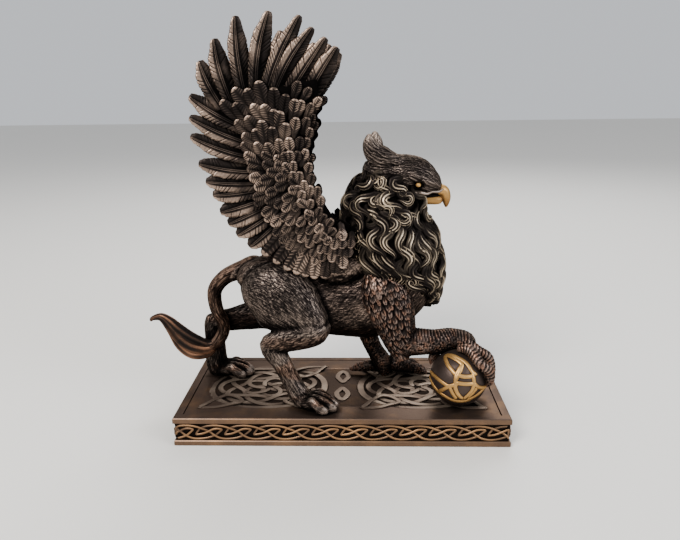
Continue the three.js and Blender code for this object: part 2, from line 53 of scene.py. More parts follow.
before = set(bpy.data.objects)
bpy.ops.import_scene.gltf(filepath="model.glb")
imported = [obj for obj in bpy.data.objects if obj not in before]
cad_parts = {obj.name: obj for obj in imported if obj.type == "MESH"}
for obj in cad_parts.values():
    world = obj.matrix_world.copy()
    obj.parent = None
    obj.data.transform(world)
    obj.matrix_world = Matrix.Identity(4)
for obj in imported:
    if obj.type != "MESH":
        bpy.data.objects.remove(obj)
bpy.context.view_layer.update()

import functools
import math
from collections import namedtuple

import bmesh
import bpy
import numpy as np
from bpy.props import FloatProperty, FloatVectorProperty, IntProperty, PointerProperty
from mathutils import Matrix, Vector
from mathutils.bvhtree import BVHTree
from mathutils.kdtree import KDTree

MM = 0.001

# A distance too small to matter
HAIRLINE = 1e-5

# Where each set of random draws starts
SEEDS = {
    "fur": 11, "fur clumps": 12, "shoulder feathers": 13, "pebbles": 14, "crown": 15, "mane": 31,
    "near wing": 40, "far wing": 42,
}

# The griffin's node and slot
GRIFFIN = ("griffin", "griffin_bronze")

PLINTH_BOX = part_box("plinth")
ORB_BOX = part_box("orb")
PLINTH = PLINTH_BOX[1] - PLINTH_BOX[0]

# The level that the paws and the orb stand on, just over the knotwork straps
STAND = ORB_BOX[0].z

SIDEWAYS = np.array((0.0, 1.0, 0.0))
UPWARDS = np.array((0.0, 0.0, 1.0))


# Numbers and curves


def unit(v):
    """Arrows drawn to a length of one."""
    return v / np.maximum(np.linalg.norm(v, axis=-1, keepdims=True), 1e-12)


def ramp(low, high, value):
    """From 0 at `low` to 1 at `high`, with no kink at either."""
    share = np.clip((value - low) / (high - low), 0, 1)
    return share * share * (3 - 2 * share)


def squared(value, power):
    """A sine or cosine drawn towards its ends, for fuller corners."""
    return np.sign(value) * np.abs(value) ** power


def spline(rows, share):
    """Rows of numbers read along a smooth curve, at shares from 0 to 1."""
    rows = np.asarray(rows, float)
    ends = np.vstack([2 * rows[0] - rows[1], rows, 2 * rows[-1] - rows[-2]])
    spans = len(rows) - 1
    spot = np.clip(np.asarray(share, float), 0, 1) * spans
    index = np.minimum(spot.astype(int), spans - 1)
    f = (spot - index)[..., None]
    a, b, c, d = (ends[index + i] for i in range(4))
    curve = (2 * a - 5 * b + 4 * c - d) * f**2
    return 0.5 * (2 * b + (c - a) * f + curve + (3 * b - a - 3 * c + d) * f**3)


def straight(rows, share):
    """Rows of numbers read along straight spans between them."""
    rows = np.asarray(rows, float)
    spot = np.clip(np.asarray(share, float), 0, 1) * (len(rows) - 1)
    index = np.minimum(spot.astype(int), len(rows) - 2)
    f = (spot - index)[..., None]
    return rows[index] * (1 - f) + rows[index + 1] * f


def placed(rows):
    """Rows of x, y, height over the paws' level and sizes, in millimetres, as metres in the frame."""
    made = np.array(rows, float) * MM
    made[:, 2] += STAND
    return made


# Closed shapes: a ball or a ring whose spots are moved to their places


@functools.cache
def ball(sides, steps):
    """A ball's mesh, and each vertex's share along its axis and angle round it."""
    bm = bmesh.new()
    bmesh.ops.create_uvsphere(bm, u_segments=sides, v_segments=steps, radius=1)
    mesh = mesh_of(bm, "ball")
    spots = vertices_of(mesh)
    return mesh, np.arccos(np.clip(spots[:, 2], -1, 1)) / math.pi, np.arctan2(spots[:, 1], spots[:, 0])


@functools.cache
def ring(sides, steps):
    """A ring's mesh, and each vertex's share of the way round and angle round the section."""
    bm = bmesh.new()
    section = Matrix.Translation((1, 0, 0)) @ Matrix.Rotation(math.pi / 2, 4, "X")
    made = bmesh.ops.create_circle(bm, segments=sides, radius=0.5, matrix=section)
    bmesh.ops.spin(
        bm, geom=made["verts"] + bm.edges[:], cent=(0, 0, 0), axis=(0, 0, 1), angle=math.tau,
        steps=steps, use_merge=True,
    )
    mesh = mesh_of(bm, "ring")
    spots = vertices_of(mesh)
    off_middle = np.hypot(spots[:, 0], spots[:, 1]) - 1
    return (
        mesh,
        np.arctan2(spots[:, 1], spots[:, 0]) / math.tau % 1,
        np.arctan2(spots[:, 2], off_middle),
    )


def mesh_of(bm, name):
    """A mesh from a form, which is used up."""
    mesh = bpy.data.meshes.new(name)
    bm.to_mesh(mesh)
    bm.free()
    return mesh


def linked(name, data):
    obj = bpy.data.objects.new(name, data)
    bpy.context.scene.collection.objects.link(obj)
    return obj


def read(items, name, size=1, kind=np.float32):
    """The numbers that a mesh's vertices, edges or triangles hold, in rows of a size."""
    values = np.zeros(len(items) * size, kind)
    items.foreach_get(name, values)
    return values.reshape(-1, size) if size > 1 else values


def vertices_of(mesh):
    return read(mesh.vertices, "co", 3).astype(float)


def normals_of(mesh):
    return read(mesh.vertex_normals, "vector", 3).astype(float)


def edges_of(mesh):
    return read(mesh.edges, "vertices", 2, np.int32)


def move_vertices(mesh, co):
    mesh.vertices.foreach_set("co", np.asarray(co, np.float32).ravel())
    mesh.update()


def add_form(bm, form, put, tones=None):
    """Adds a closed form. `put` gives its places and, with `tones`, how rubbed or dark each is."""
    mesh, along, angle = form
    places = put(along, angle)
    if tones is not None:
        places, tone = places
        tones.append(tone)
    move_vertices(mesh, places)
    bm.from_mesh(mesh)


def add_ball(bm, sides, steps, put, tones=None):
    add_form(bm, ball(sides, steps), put, tones)


def add_ring(bm, sides, steps, put, tones=None):
    add_form(bm, ring(sides, steps), put, tones)


def axes(rows, along, across):
    """A form's rows at shares along it, and the directions across and through it."""
    step = 0.004
    tangent = unit(spline(rows[:, :3], along + step) - spline(rows[:, :3], along - step))
    wide = unit(across - tangent * (tangent @ across)[:, None])
    return spline(rows, along), wide, np.cross(tangent, wide)


def inside_ends(along):
    """1 all along a form and 0 at its two ends, where it closes to a point."""
    return ((along > 1e-4) & (along < 1 - 1e-4)).astype(float)


def around(rows, along, angle, across, swell):
    """Places round rows of x, y, z, half depth and half width, with a section scaled by `swell`."""
    spot, wide, deep = axes(rows, along, across)
    aside = wide * (np.cos(angle) * spot[:, 4] * swell)[:, None]
    return spot[:, :3] + aside + deep * (np.sin(angle) * spot[:, 3] * swell)[:, None]


def limb(rows, across=SIDEWAYS):
    """A round form along rows of x, y, z, half depth and half width."""
    return lambda along, angle: around(rows, along, angle, across, inside_ends(along))


# Finished pieces


def finished(bm, name, node, slot, materials, sharp=None, tones=None):
    """Makes the form a piece of the frame that stands for a node."""
    bmesh.ops.recalc_face_normals(bm, faces=bm.faces)
    mesh = mesh_of(bm, name)
    if tones:
        store(mesh, "tone", np.concatenate(tones))
    return finished_mesh(mesh, name, node, slot, materials, sharp)


def finished_mesh(mesh, name, node, slot, materials, sharp=None):
    """Does the same with a mesh. Edges that turn by more than `sharp` degrees stay sharp."""
    mesh.shade_smooth()
    if sharp:
        mesh.set_sharp_from_angle(angle=math.radians(sharp))
    for material in materials:
        mesh.materials.append(material)
    obj = linked(name, mesh)
    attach(obj, "root")
    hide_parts(node)
    return obj


def skin(bm, voxel, rounds):
    """One closed skin over forms that run into each other, eased at the joins."""
    bmesh.ops.recalc_face_normals(bm, faces=bm.faces)
    rough = mesh_of(bm, "forms")
    obj = linked("forms", rough)
    wrap = obj.modifiers.new("Skin", "REMESH")
    wrap.mode = "VOXEL"
    wrap.voxel_size = voxel
    ease = obj.modifiers.new("Ease", "SMOOTH")
    ease.factor = 0.5
    ease.iterations = rounds
    bpy.context.view_layer.update()
    mesh = bpy.data.meshes.new_from_object(obj.evaluated_get(bpy.context.evaluated_depsgraph_get()))
    bpy.data.objects.remove(obj)
    bpy.data.meshes.remove(rough)
    return mesh


def averaged(values, edges, rounds):
    """Values on vertices, drawn half way to their neighbours' mean, a number of times."""
    count = len(values)
    first, second = edges[:, 0], edges[:, 1]
    degree = np.bincount(first, minlength=count) + np.bincount(second, minlength=count)
    degree = np.maximum(degree, 1)
    columns = values.reshape(count, -1).T.copy()
    for _ in range(rounds):
        for column in columns:
            total = np.bincount(first, column[second], count)
            total += np.bincount(second, column[first], count)
            column += 0.5 * (total / degree - column)
    return columns.T.reshape(values.shape)


def store(mesh, name, values):
    """Stores a number, or a spot, for each vertex."""
    if np.ndim(values) == 2:
        layer = mesh.attributes.new(name, "FLOAT_VECTOR", "POINT")
        layer.data.foreach_set("vector", np.asarray(values, np.float32).ravel())
    else:
        layer = mesh.attributes.new(name, "FLOAT", "POINT")
        layer.data.foreach_set("value", np.asarray(values, np.float32))


# Carving: strokes that lie along the way the fur, feathers or scales grow

# How far the strands' space is squeezed along a limb, which draws out its noise
STRAND_STRETCH = 0.12

# How far from a limb its way of growing still counts
GROWTH_REACH = 0.003

# How far each stroke may lean, its sizes, and how far round an edge it reaches, as a cosine
STROKE_LEAN = 0.22
STROKE_SIZES = (0.8, 1.15)
STROKE_TURN = 0.3


class Growth:
    """Limbs that tell each spot of a skin which it is on and which way its fur grows."""

    def __init__(self, limbs, steps=40):
        self.lines = []
        for rows, sign in limbs:
            spots = spline(rows, np.linspace(0, 1, steps))
            run = np.gradient(spots[:, :3], axis=0)
            spans = np.linalg.norm(np.diff(spots[:, :3], axis=0), axis=1)
            length = np.concatenate([[0], np.cumsum(spans)])
            self.lines.append((spots, unit(run) * sign, length))

    def at(self, co):
        """For each spot: the way of growth, the nearest limb, how far along it, and its strand.

        A strand is a place in a space that is drawn out along the limb, for the fur's noise.
        """
        blend = np.zeros_like(co)
        best = np.full(len(co), 1e9)
        nearest = np.zeros(len(co), int)
        along = np.zeros(len(co))
        strand = np.zeros_like(co)
        for index, (spots, way, length) in enumerate(self.lines):
            square = (co**2).sum(1)[:, None] + (spots[:, :3] ** 2).sum(1) - 2 * co @ spots[:, :3].T
            gap = np.sqrt(np.maximum(square, 0)) - spots[:, 3:5].mean(1)
            closest = gap.argmin(1)
            off = gap[np.arange(len(co)), closest]
            run = way[closest]
            aside = co - spots[closest, :3]
            ahead = (aside * run).sum(1)
            chord = unit(spots[-1, :3] - spots[0, :3])
            round_it = unit(aside - run * ahead[:, None]) * spots[:, 3:5].mean()
            drawn = (length[closest] + ahead)[:, None] * chord * STRAND_STRETCH
            closer = off < best
            best[closer] = off[closer]
            nearest[closer] = index
            along[closer] = (length[closest] + ahead)[closer]
            strand[closer] = (round_it + drawn)[closer]
            blend += np.exp(-np.clip(off, -0.01, 0.05) / GROWTH_REACH)[:, None] * run
        return unit(blend), nearest, along, strand


def fur_stroke(a, b):
    """A pointed stroke: `a` runs from -1 at its root to 1 at its tip and `b` across it."""
    half = np.sqrt(np.clip(1 - a * a, 0, 1)) * (1 - 0.25 * a)
    return (0.45 + 0.55 * a) * np.clip(1 - (b / np.maximum(half, 0.05)) ** 2, 0, 1)


def feather_scale(a, b):
    """A small feather with a round tip and a groove down its middle."""
    widest = 0.1
    rounded = np.sqrt(np.clip(1 - ((a - widest) / (1 - widest)) ** 2, 0, 1))
    half = np.where(a > widest, rounded, 0.75 + 0.25 * (a + 1) / (1 + widest))
    within = np.clip(1 - (b / np.maximum(half, 0.05)) ** 4, 0, 1)
    groove = 1 - 0.35 * np.exp(-((b / 0.16) ** 2))
    return (0.5 + 0.5 * a) * within * groove


def pebble(a, b):
    """A small round bump."""
    return np.clip(1 - (a * a + b * b), 0, 1) ** 0.5


def carve(co, normal, way, stroke, length, width, spacing, seed, where=None, lean=STROKE_LEAN):
    """The height of overlapping strokes at each spot, from 0 between them to 1.

    The strokes have a half length and a half width, and start at vertices about a spacing apart.
    """
    rng = np.random.default_rng(seed)
    order = rng.permutation(len(co))
    if where is not None:
        order = order[where[order]]
    _, first = np.unique(np.floor(co[order] / spacing).astype(int), axis=0, return_index=True)
    starts = order[first]
    tree = KDTree(len(co))
    for index, spot in enumerate(co):
        tree.insert(spot, index)
    tree.balance()
    flat = unit(way - normal * (way * normal).sum(1)[:, None])
    leans = rng.uniform(-lean, lean, len(starts))
    sizes = rng.uniform(*STROKE_SIZES, len(starts))
    reach = max(length, width)
    height = np.zeros(len(co))
    for start, turn, scale in zip(starts, leans, sizes):
        near = np.array([found[1] for found in tree.find_range(co[start], reach * scale)])
        forward = flat[start]
        aside = np.cross(normal[start], forward)
        forward, aside = forward + aside * turn, aside - forward * turn
        offset = co[near] - co[start]
        lift = stroke(offset @ forward / (length * scale), offset @ aside / (width * scale))
        lift *= (normal[near] @ normal[start]) > STROKE_TURN
        height[near] = np.maximum(height[near], lift)
    return height


# Finishes


def linear(red, green, blue):
    """A colour read as it looks on a screen, from 0 to 255, as a shader's own numbers."""
    shares = [c / 255 for c in (red, green, blue)]
    return tuple(s / 12.92 if s < 0.04045 else ((s + 0.055) / 1.055) ** 2.4 for s in shares)


def node(tree, kind, inputs, **settings):
    """A shader node whose inputs take numbers, colours or other nodes' outputs."""
    made = tree.nodes.new("ShaderNode" + kind)
    for name, value in settings.items():
        setattr(made, name, value)
    for name, value in inputs.items():
        socket = made.inputs[name]
        if isinstance(value, bpy.types.NodeSocket):
            tree.links.new(value, socket)
        else:
            socket.default_value = value
    return made.outputs


def new_group(name, sockets_in, sockets_out):
    """A node group, what it is given, and the sockets that it gives its results to."""
    group = bpy.data.node_groups.new(name, "ShaderNodeTree")
    for title, kind, value in sockets_in:
        socket = group.interface.new_socket(title, in_out="INPUT", socket_type="NodeSocket" + kind)
        socket.default_value = value
    for title, kind in sockets_out:
        group.interface.new_socket(title, in_out="OUTPUT", socket_type="NodeSocket" + kind)
    given, out = group.nodes.new("NodeGroupInput"), group.nodes.new("NodeGroupOutput")
    return group, given.outputs, out.inputs


# What the bronze's colour is multiplied by where it has worn down to the copper
WARMTH = (1.0, 0.74, 0.6, 1)

# How deep the grain of the paint is
GRAIN_DEPTH = 0.0004

# What the patina's node group takes, with the value it has by itself, and what it gives
GREY = (0.2, 0.2, 0.2, 1)
BRONZE_INPUTS = [
    ("Body", "Color", GREY),
    ("Rubbed", "Color", GREY),
    ("Hollow", "Color", GREY),
    ("Relief", "Float", 0.0),
    ("Open", "Float", 1.0),
    ("Rub", "Float", 1.0),
    ("Mottle", "Float", 0.5),
    ("Warm", "Float", 0.0),
    ("Hair", "Float", 0.0),
    ("Strand", "Vector", (0.0, 0.0, 0.0)),
]
BRONZE_OUTPUTS = [("Color", "Color"), ("Roughness", "Float"), ("Height", "Float")]


def aged_bronze():
    """The patina that all the finishes share: dark in the hollows, rubbed bright on the ridges, with
    painted shade where spots are closed in, and the painted light that Relief carries.
    """
    name = "Aged bronze"
    if name in bpy.data.node_groups:
        return bpy.data.node_groups[name]
    group, given, out = new_group(name, BRONZE_INPUTS, BRONZE_OUTPUTS)

    def noise(where, scale, detail):
        return node(group, "TexNoise", {"Vector": where, "Scale": scale, "Detail": detail})["Fac"]

    def counted(operation, *values, clamp=False):
        return node(group, "Math", dict(enumerate(values)), operation=operation, use_clamp=clamp)[0]

    def ranged(value, low, high, to_low=0.0, to_high=1.0, easing="LINEAR"):
        ends = {"From Min": low, "From Max": high, "To Min": to_low, "To Max": to_high}
        return node(group, "MapRange", {"Value": value, **ends}, interpolation_type=easing)[0]

    def mixed(share, first, second, blend="MIX"):
        colours = {"Factor": share, 6: first, 7: second}
        return node(group, "Mix", colours, data_type="RGBA", blend_type=blend)[2]

    spot = node(group, "TexCoord", {})["Object"]
    broad = noise(spot, 70.0, 3.0)
    fine = noise(spot, 1400.0, 2.0)
    hair = noise(given["Strand"], 2500.0, 1.0)

    strands = ranged(hair, 0.32, 0.68, -1.0, 1.0)
    speckle = counted("ADD", fine, -0.5)
    grained = counted("MULTIPLY_ADD", speckle, 0.35, given["Relief"])
    worn = counted("MULTIPLY_ADD", strands, given["Hair"], grained)
    rubbed = ranged(worn, 0.2, 1.0, easing="SMOOTHSTEP")
    strength = counted("MULTIPLY", ranged(broad, 0.35, 0.65, 0.55, 1.0), given["Rub"])
    brushed = counted("MULTIPLY", rubbed, strength, clamp=True)

    # Dark where a spot is closed in: patina, and painted shade
    closed_in_patina_and_shade = ranged(given["Open"], 0.8, 0.2)
    cut = ranged(worn, 0.15, -0.6)
    hollow = counted("MAXIMUM", closed_in_patina_and_shade, cut, clamp=True)

    tint = mixed(given["Mottle"], given["Body"], given["Rubbed"])
    body = mixed(ranged(broad, 0.5, 0.75), given["Body"], tint)
    dark = mixed(hollow, body, given["Hollow"])
    bright = mixed(brushed, dark, given["Rubbed"])
    made = {
        "Color": mixed(given["Warm"], bright, WARMTH, "MULTIPLY"),
        "Roughness": ranged(hollow, 0.0, 1.0, 0.38, 0.8),
        "Height": node(group, "Mix", {"Factor": given["Hair"], 2: fine, 3: hair})[0],
    }
    for title, socket in made.items():
        group.links.new(socket, out[title])
    return group


def attribute(tree, name, kind="Fac"):
    return node(tree, "Attribute", {}, attribute_name=name, attribute_type="GEOMETRY")[kind]


def bronze(name, body, rubbed, hollow, rub=1.0, mottle=0.3, bump=0.15, hair=0.0):
    """A painted bronze finish with its own colours over the shared patina.

    `rub` is how strongly it is rubbed bright, `mottle` how blotched, `bump` how grainy, and `hair`
    how much of the pattern of hairs along its strands it has.
    """
    material = bpy.data.materials.new(name)
    material.use_nodes = True
    tree = material.node_tree
    tree.nodes.clear()
    given = {"Body": (*body, 1), "Rubbed": (*rubbed, 1), "Hollow": (*hollow, 1)}
    given |= {"Rub": rub, "Mottle": mottle, "Hair": hair}
    given |= {title: attribute(tree, title.lower()) for title in ("Relief", "Open", "Warm")}
    if hair:
        given["Strand"] = attribute(tree, "strand", "Vector")
    patina = node(tree, "Group", given, node_tree=aged_bronze())
    grain = node(tree, "Bump", {"Height": patina["Height"], "Strength": bump, "Distance": GRAIN_DEPTH})
    surface = {
        "Base Color": patina["Color"],
        "Roughness": patina["Roughness"],
        "Normal": grain["Normal"],
        "Metallic": 0.8,
        "Specular IOR Level": 0.15,
        "Specular Tint": (0.5, 0.46, 0.42, 1),
    }
    shader = node(tree, "BsdfPrincipled", surface)
    node(tree, "OutputMaterial", {"Surface": shader["BSDF"]})
    return material


# Settings


def metres(name, description, default):
    return FloatProperty(
        name=name, description=description, default=default, unit="LENGTH", precision=5
    )


def coloured(name, description, default):
    return FloatVectorProperty(
        name=name, description=description, default=default, subtype="COLOR", size=3, min=0, max=1
    )


class PlinthSettings(bpy.types.PropertyGroup):
    top_slab: metres("Top slab", "Height of the slab over the frieze", 0.0037)
    foot_slab: metres("Foot slab", "Height of the slab under the frieze", 0.0035)
    slab_round: metres("Edge round", "How far the slabs' edges are rounded", 0.0005)
    frieze_sink: metres("Frieze depth", "How far the frieze lies behind the slabs", 0.0011)
    frieze_unit: metres("Frieze unit", "Length from one loop of the frieze to the next", 0.0173)
    frieze_strand: metres("Frieze strand", "Width of a strand of the frieze", 0.0012)
    groove: metres("Groove", "From the plinth's edge to the thin groove in its top", 0.0053)
    groove_depth: metres("Groove depth", "How deep the thin groove is", 0.0005)
    panel_sink: metres("Knotwork depth", "How deep the knotwork's ground is sunk", 0.001)
    strap_width: metres("Strap width", "Width of a knotwork strap", 0.0034)
    strap_height: metres("Strap height", "How far the straps stand over their ground", 0.0009)
    body: coloured("Body", "Bronze paint of the plinth", linear(80, 66, 58))
    rubbed: coloured("Rubbed", "Bronze where it is rubbed bright", linear(158, 120, 84))
    strap: coloured("Strap", "Bronze where the straps are rubbed bright", linear(176, 158, 140))
    hollow: coloured("Hollow", "Black-brown paint in the hollows", linear(16, 12, 10))


class OrbSettings(bpy.types.PropertyGroup):
    radius: metres("Radius", "Radius of the orb under its bands", 0.0172)
    band_width: metres("Band width", "Width of the raised bands", 0.0025)
    band_rise: metres("Band rise", "How far the bands stand off the orb", 0.0007)
    gilt: coloured("Gilt", "Gold paint on the bands, the beak and the eyes", linear(110, 75, 40))
    glint: coloured("Glint", "Gold paint where it is rubbed bright", linear(230, 182, 110))
    gilt_hollow: coloured("Gilt hollows", "Dark gold at the bands' edges", linear(40, 24, 14))
    beak_hollow: coloured("Beak hollows", "Dark gold in the beak's hollows", linear(84, 50, 26))
    panel: coloured("Panels", "Dark paint between the bands", linear(46, 38, 36))
    panel_worn: coloured("Worn panels", "Paint between the bands, rubbed", linear(96, 82, 74))


class GriffinSettings(bpy.types.PropertyGroup):
    body_voxel: metres("Body skin", "Mesh size of the body's skin", 0.00072)
    limb_voxel: metres("Foreleg skin", "Mesh size of the forelegs' skin", 0.00062)
    head_voxel: metres("Head skin", "Mesh size of the head's skin", 0.00042)
    fur_length: metres("Fur length", "Half the length of a stroke of fur", 0.003)
    fur_width: metres("Fur width", "Half the width of a stroke of fur", 0.00085)
    fur_depth: metres("Fur depth", "How deep the fur is carved", 0.0002)
    scute_pitch: metres("Scute pitch", "From one plate of the eagle's leg to the next", 0.0019)
    scute_depth: metres("Scute depth", "How deep the plates are carved", 0.00055)
    body: coloured("Body", "Dark bronze of the griffin", linear(36, 31, 29))
    rubbed: coloured("Rubbed", "Bronze rubbed bright on fur and feathers", linear(200, 178, 162))
    plume: coloured("Plume", "Tan bronze on the wings' feathers", linear(198, 170, 150))
    copper: coloured("Copper", "Reddish bronze on the tail's tuft", linear(150, 108, 82))
    horn: coloured("Horn", "Reddish brown on the plated legs", linear(188, 158, 142))
    pale: coloured("Pale", "Pale gold on the ridges of the mane", linear(238, 214, 182))
    hollow: coloured("Hollow", "Black-brown paint in the hollows", linear(6, 5, 5))


class ManeSettings(bpy.types.PropertyGroup):
    tiers: IntProperty(name="Tiers", description="Rows of locks from head to chest", default=9, min=3)
    lock: metres("Lock", "Half the width of a lock", 0.003)


class WingSettings(bpy.types.PropertyGroup):
    thickness: metres("Thickness", "Thickness of a long feather", 0.0014)
    barb_pitch: metres("Barb pitch", "From one barb of a feather to the next", 0.0022)
    barb_depth: metres("Barb depth", "How deep the barbs are carved", 0.0005)
    shingle: metres("Shingle", "How far a feather's lapped edge stands over the next", 0.0014)


class StageSettings(bpy.types.PropertyGroup):
    floor: coloured("Floor", "Pale floor under the statue", (0.72, 0.7, 0.66))
    key_power: FloatProperty(name="Key light", description="Power of the main soft light", default=22.0)
    fill_power: FloatProperty(name="Fill light", description="Power of the other lights", default=9.0)
    sky: FloatProperty(name="Surroundings", description="Brightness of the room around", default=0.75)


def settings(name):
    return getattr(bpy.context.scene, "griffin_" + name)


# Plinth


# The thin groove in the top: half its width and its bed's, how far its ends run past its corners,
# and the grid's lines across it in millimetres
GROOVE_HALF = 0.45 * MM
GROOVE_BED = 0.1 * MM
GROOVE_PAST = 0.2 * MM
GROOVE_LINES = (-0.45, -0.25, 0, 0.25, 0.45)

# How often the top is cut each way
TOP_CUTS = 100

# The right half's roundel: its middle and its reach, and the reach of the panel's middle
KNOT_MIDDLE = (48.3 * MM, -1.5 * MM)
KNOT_REACH = (38.2 * MM, 29.6 * MM)
MIDDLE_REACH = (17 * MM, 27 * MM)
ROUNDEL_POWER = 2.2
ROUNDEL_SLOPE = (0.88, 0.98)
MIDDLE_SLOPE = (0.92, 1)

# How rubbed the plinth's panel and sides are, and how much darker its hollows
PANEL_TONE = 0.15
SIDE_TONE = 0.55
GROOVE_DARK = 1.1
ROUNDEL_DARK = 0.62
MIDDLE_DARK = 0.35

# A roundel: how far its straps stay inside its edge, the pointed loop that fills a corner, and how
# much nearer the inner loops end
KNOT_MARGIN = 1.6 * MM
CORNER_LOOP = np.array([
    (-18, -15.5), (-14, -21), (-20.3, -25.3), (-28, -28.6), (-37.4, -29.2), (-38, -28.9), (-34.5, -23.5),
    (-31.5, -18.8), (-25, -13.5),
])
CORNER_DRAWN_IN = 0.93

# The panel's two small diamonds: their outline, its reach, and their places up and down the panel
DIAMOND = np.array([
    (0, -1), (0.62, -0.6), (0.85, 0), (0.5, 0.5), (0, 0.9), (-0.5, 0.5), (-0.85, 0), (-0.62, -0.6),
])
DIAMOND_REACH = (4.2 * MM, 8 * MM)
DIAMOND_MIDDLE = 3
DIAMOND_APART = 11.8

# One strap: its spots, its share of a strap's width, its steps, and its share of the panel's depth
Strap = namedtuple("Strap", "spots width steps lift", defaults=[0])

# The frieze: how far its strands stay inside its edges, and one leap of a strand, in frieze units
# and shares of its half height
FRIEZE_MARGIN = 0.5 * MM
FRIEZE_CHAIN = [
    (0, -0.3), (0.09, 0.25), (0.19, 0.62), (0.45, 0.93), (0.75, 1), (1.02, 0.84), (1.19, 0.6),
    (1.44, 0.13), (1.66, -0.5), (1.83, -0.84), (2.05, -1), (2.3, -0.94), (2.5, -0.74), (2.66, -0.48),
    (2.78, -0.1), (2.86, 0.2), (2.9, 0.42), (2.77, 0.54), (2.6, 0.46), (2.44, 0.15), (2.3, -0.1),
    (2.17, -0.26), (2.05, -0.33),
]


def lines_between(half, marks, count):
    """Grid lines from -half to half: some at each mark, and the rest spread evenly."""
    tight = [mark + step * MM for mark in marks for step in GROOVE_LINES]
    even = np.linspace(-half, half, count - len(tight))
    return np.sort(np.concatenate([even, tight]))


def groove_depth(s, x, y):
    """How deep the groove along three sides of the panel is at each spot, from 0 to 1."""
    side, back = PLINTH.x / 2 - s.groove, PLINTH.y / 2 - s.groove
    off_side = np.where((y < back + GROOVE_PAST) & (y > -back), np.abs(np.abs(x) - side), 1)
    off_back = np.where(np.abs(x) < side + GROOVE_PAST, np.abs(y - back), 1)
    return 1 - ramp(GROOVE_BED, GROOVE_HALF, np.minimum(off_side, off_back))


def knot_ground(x, y):
    """The sunk grounds of the roundels and of the middle, from 0 outside to 1 inside."""
    across = np.abs((np.abs(x) - KNOT_MIDDLE[0]) / KNOT_REACH[0])
    up = np.abs((y - KNOT_MIDDLE[1]) / KNOT_REACH[1])
    roundel = across**ROUNDEL_POWER + up**ROUNDEL_POWER
    middle = np.maximum(np.abs(x) / MIDDLE_REACH[0], np.abs(y - KNOT_MIDDLE[1]) / MIDDLE_REACH[1])
    return 1 - ramp(*ROUNDEL_SLOPE, roundel), 1 - ramp(*MIDDLE_SLOPE, middle)


def plinth_block(bm, s):
    """The stepped block: its underside drawn up through its profile."""
    top, edge = PLINTH.z, s.slab_round
    frieze_top = top - s.top_slab
    profile = [
        (0, edge), (edge, 0), (s.foot_slab - edge, 0), (s.foot_slab, edge), (s.foot_slab, s.frieze_sink),
        (frieze_top, s.frieze_sink), (frieze_top, edge), (frieze_top + edge, 0), (top - edge, 0),
        (top, edge),
    ]
    loop = bmesh.ops.create_grid(bm, x_segments=1, y_segments=1, size=1)["verts"]
    face = bm.faces[:][0]
    for level, (height, inset) in enumerate(profile):
        if level:
            made = bmesh.ops.extrude_face_region(bm, geom=[face])["geom"]
            loop = [g for g in made if isinstance(g, bmesh.types.BMVert)]
            old, face = face, next(g for g in made if isinstance(g, bmesh.types.BMFace))
            if level > 1:
                bmesh.ops.delete(bm, geom=[old], context="FACES_ONLY")
        for vertex in loop:
            vertex.co.x = math.copysign(PLINTH.x / 2 - inset, vertex.co.x)
            vertex.co.y = math.copysign(PLINTH.y / 2 - inset, vertex.co.y)
            vertex.co.z = height
    cut_top(bm, face, s)
    for wall in bm.faces:
        middle = wall.calc_center_median()
        across = max(abs(middle.y) - PLINTH.y / 2, abs(middle.x) - PLINTH.x / 2)
        in_band = s.foot_slab < middle.z < frieze_top and abs(across + s.frieze_sink) < HAIRLINE
        wall.material_index = 1 if in_band else 0


def cut_top(bm, face, s):
    """Cuts the top into a grid, with lines close enough at the groove to carve it."""
    bmesh.ops.subdivide_edges(bm, edges=face.edges[:], cuts=TOP_CUTS, use_grid_fill=True)
    half = PLINTH.x / 2 - s.slab_round, PLINTH.y / 2 - s.slab_round
    side, back = PLINTH.x / 2 - s.groove, PLINTH.y / 2 - s.groove
    lines = (
        lines_between(half[0], (-side, side), TOP_CUTS + 2),
        lines_between(half[1], (back,), TOP_CUTS + 2),
    )
    for vertex in bm.verts:
        if vertex.co.z > PLINTH.z - HAIRLINE:
            for axis in (0, 1):
                place = (vertex.co[axis] / half[axis] + 1) / 2 * (TOP_CUTS + 1)
                vertex.co[axis] = lines[axis][round(place)]


def finish_top(mesh, s):
    """Sinks the groove and the knotwork's ground into the top, and stores their tones."""
    co = vertices_of(mesh)
    on_top = co[:, 2] > PLINTH.z - HAIRLINE
    groove = groove_depth(s, co[:, 0], co[:, 1])
    roundel, middle = knot_ground(co[:, 0], co[:, 1])
    sunk = np.maximum(s.groove_depth * groove, s.panel_sink * np.maximum(roundel, middle))
    co[:, 2] -= np.where(on_top, sunk, 0)
    move_vertices(mesh, co)
    dark = np.maximum(GROOVE_DARK * groove, np.maximum(ROUNDEL_DARK * roundel, MIDDLE_DARK * middle))
    store(mesh, "tone", np.where(on_top, PANEL_TONE - dark, SIDE_TONE))


def strap(path, width, height, level, weave, squareness=0.32):
    """A flat strap along a path of x, y that rises and dips as `weave` says."""
    step = 0.002
    shoulder = 0.45

    def put(along, angle):
        run = unit(path(along + step) - path(along - step))
        side = np.stack([-run[:, 1], run[:, 0]], 1)
        across = squared(np.cos(angle), squareness)
        rise = squared(np.sin(angle), shoulder)
        flat = path(along) + side * (across * width / 2)[:, None]
        lift = weave(along)
        tone = 0.75 - 1.4 * (rise < 0.3) + 0.5 * lift / height
        return np.column_stack([flat, level + lift + rise * height]), tone

    return put


